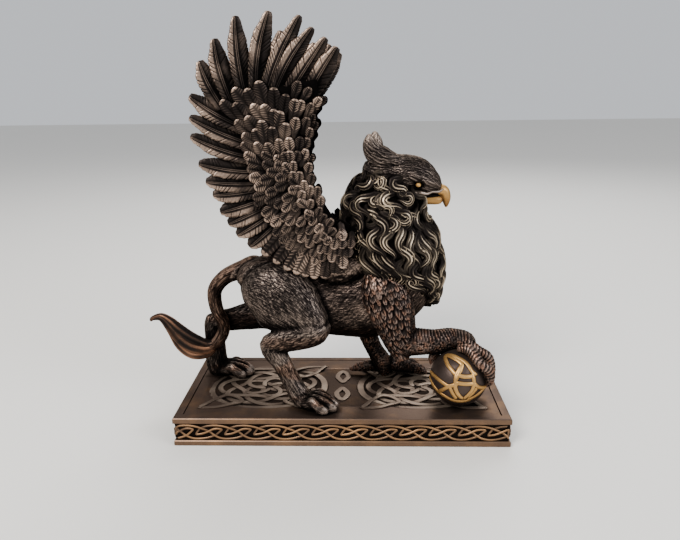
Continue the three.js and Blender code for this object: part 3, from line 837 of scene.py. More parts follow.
def span_crossings(first, second):
    """The pairs of spans at which two lines cross, and how far along each span."""
    a, r = first[:-1, None], np.diff(first, axis=0)[:, None]
    b, s = second[None, :-1], np.diff(second, axis=0)[None]
    cross = r[..., 0] * s[..., 1] - r[..., 1] * s[..., 0]
    cross = np.where(np.abs(cross) < 1e-18, 1e-18, cross)
    gap = b - a
    t = (gap[..., 0] * s[..., 1] - gap[..., 1] * s[..., 0]) / cross
    u = (gap[..., 0] * r[..., 1] - gap[..., 1] * r[..., 0]) / cross
    hit = (t >= 0) & (t < 1) & (u >= 0) & (u < 1)
    return [(k, m, t[k, m], u[k, m]) for k, m in zip(*np.nonzero(hit))]


def crossings(paths, closed, count=360):
    """For each path, how far along it its crossings lie, and their numbers."""
    lines = [path(np.linspace(0, 1, count + 1)) for path in paths]
    met = [[] for _ in paths]
    number = 0
    neighbours = 3
    for i, first in enumerate(lines):
        for j in range(i, len(lines)):
            for k, m, t, u in span_crossings(first, lines[j]):
                apart = abs(k - m)
                wraps = closed[i] and count - apart < neighbours
                if i == j and (k >= m or apart < neighbours or wraps):
                    continue
                met[i].append(((k + t) / count, number))
                met[j].append(((m + u) / count, number))
                number += 1
    return [sorted(found) for found in met]


def woven(paths, closed, swing):
    """For each path, its height along it: over and under by turns, to suit the paths before it."""
    over = {}
    heights = []
    for found, loops in zip(crossings(paths, closed), closed):
        turns = [1 if k % 2 == 0 else -1 for k in range(len(found))]
        votes = sum(turn * over[number] for turn, (_, number) in zip(turns, found) if number in over)
        signs = [-turn if votes > 0 else turn for turn in turns]
        for sign, (_, number) in zip(signs, found):
            over.setdefault(number, sign)
        heights.append(wave([share for share, _ in found], signs, loops, swing))
    return heights


def wave(shares, signs, loops, swing):
    """A height that swings up and down, to its full at each crossing."""
    if not shares:
        return np.zeros_like
    period = 1 if loops else None

    def height(share):
        between = np.interp(share, shares, signs, period=period)
        return swing * np.sin(between * math.pi / 2)

    return height


def round_path(spots):
    rows = np.vstack([spots[-2:], spots, spots[:3]])
    spans = len(rows) - 1

    def path(share):
        return spline(rows, (np.asarray(share) % 1 * len(spots) + 2) / spans)

    return path


def open_path(spots):
    return lambda share: spline(spots, share)


def polar_knot(turns, lobes, middle, swing, count, start=0.0):
    """A closed plait round a middle: it goes round `turns` times and swings out `lobes` times."""
    turn = np.linspace(0, turns * math.tau, count, endpoint=False)
    radius = middle + swing * np.cos(lobes * turn / turns + start)
    return np.column_stack([np.cos(turn), np.sin(turn)]) * radius[:, None]


def panel_plan():
    """The knotwork: in each half an oval, corner loops, a plaited ring and a star within."""
    plan = []
    for side in (-1, 1):
        middle = np.array((side * KNOT_MIDDLE[0], KNOT_MIDDLE[1]))
        reach = np.array(KNOT_REACH) - KNOT_MARGIN
        turn = np.linspace(0, math.tau, 24, endpoint=False)
        oval = squared(np.column_stack([np.cos(turn), np.sin(turn)]), 0.9)
        plait = polar_knot(turns=3, lobes=7, middle=0.66, swing=0.2, count=105, start=math.pi)
        star = polar_knot(turns=2, lobes=5, middle=0.28, swing=0.17, count=60)
        plan.append(Strap(oval * reach + middle, width=1.25, steps=150))
        for end in (-1, 1):
            for mirror in (-side, side * CORNER_DRAWN_IN):
                corner = CORNER_LOOP * MM * (mirror, -end) + middle
                plan.append(Strap(corner, width=0.8, lift=0.5, steps=90))
        plan.append(Strap(plait * reach + middle, width=1.0, steps=440))
        plan.append(Strap(star * reach * (0.95, 1) + middle, width=0.9, steps=210))
    for end in (-1, 1):
        place = (0, KNOT_MIDDLE[1] + (DIAMOND_MIDDLE + end * DIAMOND_APART) * MM)
        diamond = DIAMOND * (DIAMOND_REACH[0], -end * DIAMOND_REACH[1]) + place
        plan.append(Strap(diamond, width=1, steps=80))
    return plan


def panel_straps(bm, s, tones):
    swing = s.strap_height * 0.3
    level = PLINTH.z - s.panel_sink + swing
    plan = panel_plan()
    paths = [round_path(row.spots) for row in plan]
    for path, weave, row in zip(paths, woven(paths, [True] * len(paths), swing), plan):
        lift = s.panel_sink * row.lift
        put = strap(path, s.strap_width * row.width, s.strap_height * 0.5 + lift, level + lift, weave)
        add_ring(bm, 8, row.steps, put, tones)


def frieze_paths(s, length):
    """One side of the frieze: two chains that leap two units, turn back and go on."""
    half = length / 2 - s.frieze_strand / 2
    tall = PLINTH.z - s.top_slab - s.foot_slab
    swing = (tall - s.frieze_strand) / 2 - FRIEZE_MARGIN
    periods = math.ceil(length / s.frieze_unit / 2) + 2
    paths = []
    for offset in (0, 1):
        spots = np.array([
            ((x + 2 * period + offset - periods) * s.frieze_unit, y * swing)
            for period in range(periods)
            for x, y in FRIEZE_CHAIN
        ])
        shown = np.flatnonzero(np.abs(spots[:, 0]) < half)
        spots = spots[max(shown[0] - 1, 0):shown[-1] + 2]
        spots[:, 0] = np.clip(spots[:, 0], -half, half)
        paths.append((open_path(spots), 3 * len(spots)))
    return paths


def frieze(bm, s, tones):
    """The frieze's strands, laid flat for each side and stood up against it."""
    middle = (s.foot_slab + PLINTH.z - s.top_slab) / 2
    sink = s.frieze_sink
    wide, deep = PLINTH.x, PLINTH.y
    sides = [(wide, deep, 0), (deep, wide, 90), (wide, deep, 180), (deep, wide, 270)]
    for length, depth, turned in sides:
        plan = frieze_paths(s, length - 2 * sink)
        paths = [path for path, _ in plan]
        turn = Matrix.Rotation(math.radians(turned), 4, "Z")
        turn = turn @ Matrix.Translation((0, -depth / 2 + sink, middle))
        turn = np.array(turn @ Matrix.Rotation(math.pi / 2, 4, "X"))
        for (path, steps), weave in zip(plan, woven(paths, [False] * len(paths), sink * 0.2)):
            flat = strap(path, s.frieze_strand, sink * 0.42, sink * 0.28, weave, squareness=0.6)

            def put(along, angle):
                spots, tone = flat(along, angle)
                return spots @ turn[:3, :3].T + turn[:3, 3], tone

            add_ball(bm, 6, steps, put, tones)


class GRIFFIN_OT_plinth(bpy.types.Operator):
    """Makes the plinth: its stepped block, the frieze round it and the knotwork on its panel"""

    bl_idname = "griffin.plinth"
    bl_label = "Plinth"

    def execute(self, context):
        s = settings("plinth")
        paint = [
            bronze("plinth bronze", s.body, s.rubbed, s.hollow, rub=0.7, mottle=0.25, bump=0.05),
            bronze("frieze ground", s.hollow, s.hollow, s.hollow, rub=0.0, mottle=0.0),
        ]
        bm = bmesh.new()
        plinth_block(bm, s)
        block = finished(bm, "plinth_block", "plinth", "plinth_bronze", paint)
        finish_top(block.data, s)
        block.data.set_sharp_from_angle(angle=math.radians(35))
        bm, tones = bmesh.new(), []
        panel_straps(bm, s, tones)
        straps = bronze("strap bronze", s.body, s.strap, s.hollow, rub=0.36, bump=0.05)
        finished(bm, "plinth_knotwork", "plinth", "plinth_bronze", [straps], sharp=50, tones=tones)
        bm, tones = bmesh.new(), []
        frieze(bm, s, tones)
        strands = bronze("frieze bronze", s.body, s.rubbed, s.hollow, rub=0.9, bump=0.05)
        finished(bm, "plinth_frieze", "plinth", "plinth_bronze", [strands], tones=tones)
        return {"FINISHED"}


# Orb


# Where the orb lies on the plinth, and how far under the paws' level it is cut flat
ORB_PLACE = np.array((71.3, -22.2, 0)) * MM
ORB_SUNK = 0.5 * MM

# The bands on the orb's near face, as spots on a disc seen this way: one that closes on itself,
# then those that end. The far face has the same.
ORB_FACING = (-0.155, -0.889, 0.431)
ORB_LOOP = [
    (-0.46, 0.68), (-0.4, 0.42), (-0.24, 0.22), (-0.09, 0.09), (0.02, 0.27), (0.09, 0.43), (-0.16, 0.6),
]
ORB_BANDS = [
    [(-0.5, 0.7), (-0.3, 0.72), (-0.09, 0.66), (0.24, 0.48), (0.45, 0.2), (0.62, 0.11)],
    [(0.1, 0.43), (0.05, 0.22), (-0.03, 0.04), (-0.08, -0.12)],
    [(-0.06, 0.06), (0.2, 0.02), (0.47, 0.06)],
    [(-0.09, -0.2), (0.2, -0.22), (0.52, -0.19)],
    [(-0.09, 0.12), (-0.09, -0.15), (-0.08, -0.4), (0.04, -0.62), (0.19, -0.73)],
    [(0.44, 0.2), (0.5, 0), (0.52, -0.2), (0.46, -0.43), (0.31, -0.62), (0.19, -0.73)],
    [(0.5, -0.16), (0.68, -0.29), (0.86, -0.29), (0.96, -0.2)],
    [(0.88, -0.27), (0.79, -0.41), (0.54, -0.63), (0.3, -0.73)],
    [(0.62, -0.32), (0.5, -0.5), (0.34, -0.66)],
    [(-0.98, 0.16), (-0.78, -0.05), (-0.48, -0.26), (-0.32, -0.33), (-0.12, -0.28), (0, -0.2)],
    [(-0.99, 0), (-0.88, -0.29), (-0.65, -0.55), (-0.39, -0.7), (-0.13, -0.8), (0.2, -0.8), (0.5, -0.68)],
    [(-0.66, -0.56), (-0.46, -0.44), (-0.3, -0.34)],
    [(-0.28, -0.36), (-0.16, -0.58), (-0.04, -0.74)],
]


def orb_centre():
    return ORB_PLACE + UPWARDS * (STAND - ORB_SUNK + settings("orb").radius)


def over_orb(angle, aside, lift=0.0):
    """A spot off the orb: `angle` turns from the front over the top, `aside` leans to the far side."""
    turn, lean = np.radians(angle), np.radians(aside)
    radius = settings("orb").radius + lift * MM
    way = np.array((np.cos(lean) * np.cos(turn), np.sin(lean), np.cos(lean) * np.sin(turn)))
    return orb_centre() + way.T * radius


def orb_way(across, up):
    """The way from the orb's middle to a spot of its near face, read as on a flat disc."""
    facing = unit(np.array(ORB_FACING))
    right = unit(np.cross(UPWARDS, facing))
    flat = right * across + np.cross(facing, right) * up
    return flat + facing * math.sqrt(max(0.0, 1 - across * across - up * up))


def orb_band(spots, s, closed):
    """A raised band along spots of the near face."""
    rows = np.array([orb_way(*spot) for spot in spots])
    path = round_path(rows) if closed else open_path(rows)
    step = 0.004

    def put(along, angle):
        way = unit(path(along))
        run = unit(path(along + step) - path(along - step))
        side = unit(np.cross(way, run))
        full = 1 if closed else np.minimum(1, 12 * np.minimum(along, 1 - along) + 0.02)
        across = squared(np.cos(angle), 0.6) * s.band_width / 2 * full
        rise = s.band_rise * (0.1 + 0.9 * np.sin(angle))
        tone = np.where(np.sin(angle) > 0.2, 0.3 + 0.6 * np.sin(angle), -1.0)
        return orb_centre() + way * (s.radius + rise)[:, None] + side * across[:, None], tone

    return put


class GRIFFIN_OT_orb(bpy.types.Operator):
    """Makes the orb and its raised gilt bands"""

    bl_idname = "griffin.orb"
    bl_label = "Orb"

    def execute(self, context):
        s = settings("orb")
        middle = orb_centre()
        bm = bmesh.new()
        place = Matrix.Translation(middle)
        bmesh.ops.create_icosphere(bm, subdivisions=5, radius=s.radius, matrix=place)
        cut = bmesh.ops.bisect_plane(
            bm, geom=bm.verts[:] + bm.edges[:] + bm.faces[:], plane_co=(0, 0, STAND),
            plane_no=(0, 0, -1), clear_outer=True,
        )["geom_cut"]
        bmesh.ops.contextual_create(bm, geom=[e for e in cut if isinstance(e, bmesh.types.BMEdge)])
        panel = bronze("orb panels", s.panel, s.panel_worn, settings("body").hollow, rub=0.4)
        finished(bm, "orb_ball", "orb", "orb_gilt", [panel], sharp=40)
        bm, tones = bmesh.new(), []
        for spots in [ORB_LOOP, *ORB_BANDS]:
            closed = spots is ORB_LOOP
            for turned in (0, 180):
                band = orb_band(spots, s, closed)
                spin = np.array(Matrix.Rotation(math.radians(turned), 3, "Z"))

                def put(along, angle):
                    places, tone = band(along, angle)
                    places = (places - middle) @ spin.T + middle
                    places[:, 2] = np.maximum(places[:, 2], STAND)
                    return places, tone

                if closed:
                    add_ring(bm, 10, 90, put, tones)
                else:
                    add_ball(bm, 10, 44, put, tones)
        gilt = bronze("orb gilt", s.gilt, s.glint, s.gilt_hollow, rub=0.55, bump=0.08)
        finished(bm, "orb_bands", "orb", "orb_gilt", [gilt], tones=tones)
        return {"FINISHED"}


# Griffin's body

# Each limb here and below is rows from one end to the other, of x, y, the height over the paws'
# level, half the depth and half the width, in millimetres
TORSO = placed([
    (-63, 0, 68, 3, 3), (-59, 0, 68, 13, 12), (-49, 0, 68, 20, 17), (-34, 0, 66, 22, 20),
    (-18, 0, 60, 21, 20), (0, 0, 58, 22, 19), (17, 0, 60, 25, 20), (31, 0, 68, 24, 21),
    (40, 0, 80, 20, 19), (44, 0, 92, 8, 8),
])
NEAR_HIND = [
    placed([
        (-57, -4, 71, 4, 5), (-50, -10, 70, 15, 12), (-40, -14, 67, 21, 14), (-28, -18, 60, 19, 13),
        (-18, -22, 53, 13, 10), (-11, -24, 49, 8, 7), (-6.5, -25, 48, 3, 3),
    ]),
    placed([
        (-9, -25, 53, 4, 4), (-15, -25, 49, 9.4, 8), (-26, -25, 45, 9.2, 7.4), (-37, -25, 41.4, 7.4, 6.2),
        (-45, -25, 38.6, 5.6, 5), (-48.5, -25, 38, 2.5, 2.5),
    ]),
    placed([
        (-45, -25, 43, 3, 3), (-41.5, -25, 37, 7, 5.4), (-35.5, -25.5, 27, 6, 5),
        (-29.5, -26, 14, 5.8, 5.2), (-25, -27, 6, 6.4, 6.2), (-23, -27, 0.5, 4, 5),
    ]),
]
FAR_HIND = [
    placed([
        (-52, 5, 70, 6, 6), (-46, 12, 66, 16, 12), (-42, 16, 56, 16, 12), (-44, 18, 46, 12, 9),
        (-48, 18, 38, 5, 5),
    ]),
    placed([
        (-38, 18, 50, 4, 4), (-46, 18, 46, 13, 9), (-58, 18, 42.6, 10.2, 7.5), (-72, 18, 39.6, 8, 6.2),
        (-85, 18, 37.6, 6.6, 5.4), (-90.5, 18, 36, 3, 3),
    ]),
    placed([
        (-88, 18, 43, 3, 3), (-87, 18, 37, 5.8, 5.4), (-86.3, 18, 24, 6.6, 6), (-86.3, 18, 12, 7.2, 6.2),
        (-85.3, 18, 5, 7.4, 6.6), (-84, 18, 0.5, 5.6, 5.4),
    ]),
]
TAIL = placed([
    (-46, 4, 78, 3, 3), (-54, 5, 79, 7.6, 7.6), (-62.7, 7, 77, 6, 6), (-74, 8, 72, 5, 5),
    (-81, 8, 64.4, 4.7, 4.6), (-82.2, 8, 56.3, 4.5, 4.4), (-80.6, 8, 47.8, 4.3, 4.2),
    (-77.6, 8, 41, 4.2, 4), (-77.9, 8, 34.3, 4, 3.8), (-82.4, 8, 26.8, 4, 3.8), (-88, 8, 23.4, 3.2, 3.2),
    (-92, 8, 22.6, 1, 1),
])
RUMP = placed([
    (-64, 1, 72, 3, 3), (-57, -2, 74.5, 9, 9), (-48, -4, 76, 11, 11), (-38, -6, 76, 11, 11),
    (-28, -6, 75, 6, 6),
])
WITHERS = placed([(-12, -7, 76, 4, 4), (-2, -9, 80, 8, 8), (8, -9, 85, 9, 9), (17, -8, 87, 6, 6)])
NEAR_SHOULDER = placed([
    (20, -10, 84, 4, 4), (24, -15, 74, 13, 9), (29, -18, 62, 14, 9.5), (33, -18.5, 49, 12, 8.5),
    (35.5, -18, 37, 9, 7.4), (37.5, -18, 26.5, 4, 4),
])
FAR_SHOULDER = placed([
    (12, 8, 70, 4, 4), (14, 12, 55, 10, 9), (15.5, 14, 40, 7.6, 8), (17.4, 14.5, 28.5, 5.9, 5.8),
    (21.2, 15, 19, 5.4, 5.4), (26, 15.5, 10.5, 6, 6), (28, 16, 4, 5, 5.5), (29, 16, 0.5, 3, 4),
])

# How far the lowest of the paws may reach under the level that they stand on
PAW_SINK = 0.2 * MM

# How far apart strokes of fur and clumps of them start, and how much larger and deeper a clump is
FUR_GAP = 0.0017
CLUMP_GAP = 0.0052
CLUMP_LENGTH = 2.2
CLUMP_WIDTH = 2.6
CLUMP_DEPTH = 0.8

# How deep the fur is on the tail and on the toes against the body's
TAIL_DEPTH = 0.4
TOE_DEPTH = 0.35

# Which way the fur of the trunk and the thighs is drawn: down and a little back
FUR_DRAW = np.array((-0.15, 0, -0.75))


def lion_paw(x, y, heading):
    """A lion's paw turned by its heading: its pad and four toes, and the way across it."""
    turn = math.radians(heading)

    def put(ahead, aside, height, deep, wide):
        return (
            x + ahead * math.cos(turn) - aside * math.sin(turn),
            y + ahead * math.sin(turn) + aside * math.cos(turn),
            height, deep, wide,
        )

    pad = placed([
        put(-4, 0, 4, 2, 2), put(0, 0, 4.5, 5, 6), put(8, 0, 4.5, 4.8, 8), put(14, 0, 2.2, 2.4, 6),
    ])
    toes = []
    for aside, reach in zip((-7.4, -2.7, 2.4, 7), (18.5, 22.5, 22, 18)):
        toes.append(placed([
            put(4, aside * 0.7, 5, 1.5, 1.5), put(9, aside * 0.85, 7, 3, 2.2),
            put(reach - 7, aside, 6, 2.9, 2.1), put(reach - 3.4, aside, 3.4, 3.4, 2.5),
            put(reach - 1, aside, 2.6, 2.6, 2.1), put(reach + 0.8, aside, 1.4, 1.2, 1),
        ]))
    return pad, toes, np.array((-math.sin(turn), math.cos(turn), 0.0))


PAWS = [lion_paw(-24.5, -28, -15), lion_paw(-84, 18, -4)]


def level_of(co):
    """How high spots lie over the paws' level, in millimetres."""
    return (co[:, 2] - STAND) / MM


def body_skin(s):
    bm = bmesh.new()
    add_ball(bm, 48, 90, limb(TORSO))
    for rows in [*NEAR_HIND, *FAR_HIND, TAIL, RUMP, WITHERS]:
        add_ball(bm, 32, 80, limb(rows))
    for pad, toes, across in PAWS:
        add_ball(bm, 24, 30, limb(pad, across))
        for toe in toes:
            add_ball(bm, 16, 30, limb(toe, across))
    return skin(bm, s.body_voxel, 6)


def furred_body(s):
    """The lion's body, hind legs and tail in carved fur."""
    mesh = body_skin(s)
    growth = Growth(
        [(TORSO, -1), (TAIL, 1)]
        + [(rows, 1) for rows in NEAR_HIND + FAR_HIND]
        + [(toe, 1) for _, toes, _ in PAWS for toe in toes]
    )
    co, normal = vertices_of(mesh), normals_of(mesh)
    way, nearest, along, strand = growth.at(co)
    torso, tail, toes = nearest == 0, nearest == 1, nearest >= 8
    thighs, far_leg = np.isin(nearest, (2, 5)), np.isin(nearest, (5, 6, 7))
    way = unit(way + (torso | thighs)[:, None] * FUR_DRAW)
    fur = carve(co, normal, way, fur_stroke, s.fur_length, s.fur_width, FUR_GAP, SEEDS["fur"])
    clumps = carve(
        co, normal, way, fur_stroke, s.fur_length * CLUMP_LENGTH, s.fur_width * CLUMP_WIDTH, CLUMP_GAP,
        SEEDS["fur clumps"],
    )
    depth = s.fur_depth * (fur - 0.35) + s.fur_depth * CLUMP_DEPTH * (clumps - 0.5) * ~tail
    depth = np.where(tail, depth * TAIL_DEPTH, depth)
    depth = np.where(toes, depth * TOE_DEPTH, depth)
    move_vertices(mesh, co + normal * depth[:, None])
    keep_over_plinth(mesh)
    store(mesh, "strand", strand)

    # Painted shade on the far leg, underneath and on the paws, with a painted highlight at the toes'
    # tips; on the tail a painted highlight on its upper, rear-facing side and painted shade elsewhere;
    # coppery on the tail and the shins
    far_leg_painted_shade = far_leg * 0.55
    under = 0.6 * ramp(0.1, 0.8, -normal[:, 2])
    tail_painted_light = tail * (0.5 - 0.7 * ramp(0.1, 0.8, normal[:, 2] - 0.5 * normal[:, 0]))
    paw_painted_light = toes * (0.5 - 0.95 * ramp(0.013, 0.018, along)) * (1 + 0.5 * (co[:, 1] > 0))
    store(mesh, "shade", -far_leg_painted_shade - under - tail_painted_light - paw_painted_light)
    height = level_of(co)
    shin = (1 - ramp(34, 62, height)) * (height > 6)
    rings = 0.7 * shin * ramp(-0.2, 0.6, np.sin(height / 3) + normal[:, 0])
    store(mesh, "warm", np.clip(0.75 * tail + rings + 0.25 * torso, 0, 1))
    return mesh


def keep_over_plinth(mesh):
    """Flattens what reaches lower than the level that the paws stand on."""
    co = vertices_of(mesh)
    co[:, 2] = np.maximum(co[:, 2], STAND - PAW_SINK)
    move_vertices(mesh, co)


# The tuft's strands: how far each lies to one side and outwards, and its thickness
TUFT_STRANDS = [(-1.5, -0.8, 3.4), (-0.7, 0.8, 3.6), (0.1, -0.5, 4.0), (0.9, 0.8, 3.5), (1.7, -0.2, 3.0)]


def tail_tuft(bm, tones):
    """The tuft: strands that leave the tail together, swell and curl up to one hooked tip."""
    for index, (side, out, size) in enumerate(TUFT_STRANDS):
        rows = placed([
            (-79.5, 8, 31, 0.8, 0.8), (-83, 8 + 0.4 * out, 26.6 - 0.4 * side, 2.4, 2.6),
            (-89, 8 + out, 22.6 - side * 2.1, size * 0.9, size * 0.8),
            (-99, 8 + out * 2.4, 25.2 - side * 4, size, size * 0.9),
            (-107, 8 + out * 2.2, 31.4 - side * 4, size, size * 0.85),
            (-112.5, 8 + out * 1.4, 39 - side * 2.4, size * 0.8, size * 0.65),
            (-118, 8 + out * 0.7, 44.4 - side * 0.9, size * 0.5, size * 0.45),
            (-124.4 + index * 0.4, 8, 43.6 - side * 0.2, 0.9, 0.8), (-125.6, 8, 41.6, 0.4, 0.4),
        ])

        def put(along, angle):
            ridge = np.cos(5 * angle + 2.5 * along) * ramp(0.05, 0.3, along)
            tone = 0.3 + 0.4 * ridge + 0.25 * np.sin(7 * along + 2.6 * side)
            return around(rows, along, angle, SIDEWAYS, (1 + 0.09 * ridge) * inside_ends(along)), tone

        add_ball(bm, 30, 56, put, tones)


class GRIFFIN_OT_body(bpy.types.Operator):
    """Makes the lion's body, hind legs and tail in carved fur, and the tail's flame-shaped tuft"""

    bl_idname = "griffin.body"
    bl_label = "Body, hind legs and tail"

    def execute(self, context):
        s = settings("body")
        mesh = furred_body(s)
        fur = bronze(
            "furred bronze", s.body, s.rubbed, s.hollow, rub=0.42, mottle=0.15, hair=0.6, bump=0.6
        )
        finished_mesh(mesh, "griffin_body", *GRIFFIN, [fur])
        bm, tones = bmesh.new(), []
        tail_tuft(bm, tones)
        copper = bronze("copper bronze", s.body, s.copper, s.hollow, rub=0.8, mottle=0.3)
        finished(bm, "griffin_tail_tuft", *GRIFFIN, [copper], tones=tones)
        return {"FINISHED"}


# Griffin's forelegs

# Where the shaggy feathers end: in front, and on the far leg at a height over the paws' level
SHAGGY_FRONT = 0.041
SHAGGY_FOOT = 0.026

# Half lengths, half widths and spacings of the shoulders' feathers and the skin's pebbles
SHOULDER_FEATHERS = (0.0036, 0.0019, 0.0031)
SKIN_PEBBLES = (0.0009, 0.0009, 0.0013)
FEATHER_DEPTH = 0.0012

# How much of a plate's length is its sloping face, before the step down to the next
PLATE_FACE = 0.85


def foreleg_limbs():
    """The rows of the forearm, of the fingers over the orb and of the far foot's toes."""
    wrist = over_orb(88, 22, 5.4)

    def sized(spots):
        return np.array([(*spot, deep * MM, wide * MM) for spot, deep, wide in spots])

    rise = placed([(29, -18, 41), (35, -18, 39), (45, -17.5, 38), (57, -17, 38)])
    forearm = sized([
        (rise[0], 4, 4), (rise[1], 8.8, 7.6), (rise[2], 8.6, 7.2), (rise[3], 7.4, 6.6),
        (wrist + np.array((-5, 0, 0.6)) * MM, 6.6, 7), (wrist + np.array((5, 0, -0.5)) * MM, 5, 8),
        (wrist + np.array((9, 0, -3)) * MM, 2, 4),
    ])
    fingers = []
    for aside, extra in ((-31, 0), (6, 6), (40, 0)):
        fingers.append(sized([
            (over_orb(96, (aside + 20) / 2, 3), 2, 2),
            (over_orb(76, (aside * 2 + 20) / 3, 3.6), 3.5, 3.6),
            (over_orb(54, aside, 3), 3.1, 3.2), (over_orb(33, aside, 3.6), 3.7, 3.5),
            (over_orb(12 - extra, aside, 2.8), 2.9, 2.8), (over_orb(-7 - extra, aside, 1.1), 0.9, 1),
        ]))
    hind_claw = sized([
        (over_orb(90, 12, 3), 2, 2), (over_orb(108, 14, 4), 4, 3.6), (over_orb(128, 18, 3.6), 3.5, 3.2),
        (over_orb(148, 22, 2.4), 2.4, 2.2), (over_orb(164, 24, 1.2), 0.6, 0.6),
    ])
    toes = []
    foot_x, foot_y = 30, 15
    for x, y in ((56.5, 15), (52, 25), (44, 33)):
        spots = [(foot_x - 2, foot_y, 6, 2, 2)]
        for share, height, deep, wide in ((0.25, 8, 5, 4.2), (0.6, 5.6, 3.8, 3.4), (0.85, 4, 3.2, 2.9)):
            spot = foot_x + (x - foot_x) * share, foot_y + (y - foot_y) * share
            spots.append((*spot, height, deep, wide))
        toes.append(placed([*spots, (x, y, 1.2, 0.6, 0.6)]))
    hind_toe = placed([
        (30, 15, 6, 3, 3), (20, 17, 6, 3.8, 3.4), (12, 18.5, 4.5, 3.2, 3), (4, 20, 2, 1, 1),
    ])
    return forearm, [*fingers, hind_claw], [*toes, hind_toe]


def scaled_forelegs(s):
    """The forelegs: shoulder feathers, plates down the shins and fingers, and pebbled skin."""
    forearm, fingers, toes = foreleg_limbs()
    bm = bmesh.new()
    for rows in (NEAR_SHOULDER, FAR_SHOULDER):
        add_ball(bm, 32, 80, limb(rows))
    add_ball(bm, 32, 70, limb(forearm))
    for rows in fingers + toes:
        add_ball(bm, 20, 60, limb(rows))
    mesh = skin(bm, s.limb_voxel, 5)
    co, normal = vertices_of(mesh), normals_of(mesh)
    limbs = [NEAR_SHOULDER, FAR_SHOULDER, forearm, *fingers, *toes]
    way, nearest, along, _ = Growth([(rows, 1) for rows in limbs]).at(co)
    shaggy = (nearest == 0) | ((nearest == 1) & (co[:, 2] > STAND + SHAGGY_FOOT))
    shaggy &= co[:, 0] < SHAGGY_FRONT
    finger = np.isin(nearest, (3, 4, 5))
    plated = ramp(0.15, 0.45, normal[:, 2] + 0.6 * finger) * ~shaggy * (co[:, 1] < 0)
    slant = np.where(normal[:, 2] > 0.62, 0, 0.5 + 0.5 * normal[:, 2])
    phase = (along / s.scute_pitch + slant) % 1
    plate = np.clip(phase / PLATE_FACE, 0, 1) * (1 - ramp(PLATE_FACE, 1, phase))
    seed = SEEDS["shoulder feathers"]
    feathers = carve(co, normal, way, feather_scale, *SHOULDER_FEATHERS, seed, shaggy)
    pebbles = carve(co, normal, way, pebble, *SKIN_PEBBLES, SEEDS["pebbles"], ~shaggy)
    scales = plated * (plate - 0.5) * 0.7 + (1 - plated) * (pebbles - 0.5) * 0.9
    depth = np.where(shaggy, FEATHER_DEPTH * (feathers - 0.4), s.scute_depth * scales)
    move_vertices(mesh, co + normal * depth[:, None])
    keep_over_plinth(mesh)

    # Blotched bright and coppery, darker on bare skin, and painted shade on the far leg and underneath
    patches = np.sin(co[:, 0] * 900) * np.sin(co[:, 2] * 760 + co[:, 0] * 300)
    far, bare, under = 0.3 * (co[:, 1] > 0), 0.1 * ~shaggy, 0.4 * ramp(0.2, 0.9, -normal[:, 2])
    store(mesh, "shade", 0.12 * patches - far - bare - under)
    store(mesh, "warm", 0.75 * ramp(-0.2, 0.5, patches))
    return mesh


class GRIFFIN_OT_forelegs(bpy.types.Operator):
    """Makes the eagle's forelegs: shaggy shoulders, plated shins and toes, and the claws"""

    bl_idname = "griffin.forelegs"
    bl_label = "Forelegs"

    def execute(self, context):
        s = settings("body")
        scutes = bronze("scaled bronze", s.body, s.horn, s.hollow, rub=0.5, mottle=0.25)
        finished_mesh(scaled_forelegs(s), "griffin_forelegs", *GRIFFIN, [scutes])
        return {"FINISHED"}


# Griffin's head

SKULL = placed([
    (13.5, 0, 141, 3, 3), (20, 0, 139.6, 8.4, 8.5), (28, 0, 138.4, 9.8, 10.6), (36, 0, 137.5, 11.2, 12),
    (45, 0, 135.6, 11.2, 11.6), (53, 0, 131.8, 8, 9), (57.6, 0, 129.6, 4.6, 5.4), (60, 0, 128.8, 2, 2.6),
])
UPPER_BEAK = placed([
    (55, 0, 128.6, 2.4, 3), (58, 0, 128, 3.3, 4), (61.2, 0, 127, 3.5, 3.6), (62.9, 0, 123.6, 2.9, 2.6),
    (63.2, 0, 120, 1.9, 1.7), (63.2, 0, 117.2, 0.5, 0.5),
])
LOWER_BEAK = placed([
    (43, 0, 122.8, 2, 3), (47, 0, 122.6, 3.3, 4.8), (54, 0, 122.2, 3.2, 3.8), (59.4, 0, 121.8, 2.6, 2.4),
    (61.4, 0, 121.5, 0.7, 0.8),
])
JAW = placed([
    (34, 0, 126, 4, 5), (42, 0, 127.4, 4.6, 9), (50, 0, 127, 4, 6.6), (57, 0, 126, 3, 3.4),
    (60.5, 0, 125, 1.2, 1.6),
])
THROAT = placed([(40, 0, 126, 5, 6), (42, 0, 119, 8, 9), (41, 0, 112, 10, 12), (40, 0, 106, 6, 8)])


def brow(side):
    """The ridge over an eye, from behind it to the beak."""
    return placed([
        (36, side * 9, 140.5, 1, 1), (42, side * 10.6, 137.6, 3, 2.6), (48, side * 10.2, 135.4, 2.6, 2.6),
        (53.5, side * 7.8, 133, 2.2, 2.2), (58, side * 4.6, 130.4, 1, 1),
    ])


def crest(y, tip_x, tip_z):
    return placed([
        (42, y * 0.8, 144, 1.6, 1.5), (34, y, 144.4, 3.8, 3.2), (26.6, y, 145.8, 6.4, 3.6),
        (20.6, y, 150, 5.8, 3.4), (tip_x + 0.6, y, 155.6, 4.1, 2.6), (tip_x, y, tip_z, 0.9, 0.9),
    ])


def gape(side):
    """The ridge over the corner of the mouth, from the cere back into the cheek."""
    course = [
        (61, 3.2, 129, 0.6), (58, 4.6, 127.4, 0.8), (54, 6.6, 127.6, 0.7), (50.6, 8.4, 126.8, 0.8),
        (46.5, 10.2, 127.8, 0.8), (43, 11.4, 127.8, 0.8), (39.5, 12, 125.6, 0.8),
        (37.8, 12.8, 121.5, 0.8), (37.6, 13, 115, 0.5),
    ]
    return placed([(x, side * y, z, thick, thick) for x, y, z, thick in course])


CRESTS = [crest(-6.5, 17, 161), crest(6.5, 20.5, 161.6)]
EYE = np.array((45.4, 10.5, 132.4)) * MM + UPWARDS * STAND
EYE_RADIUS = 0.0015

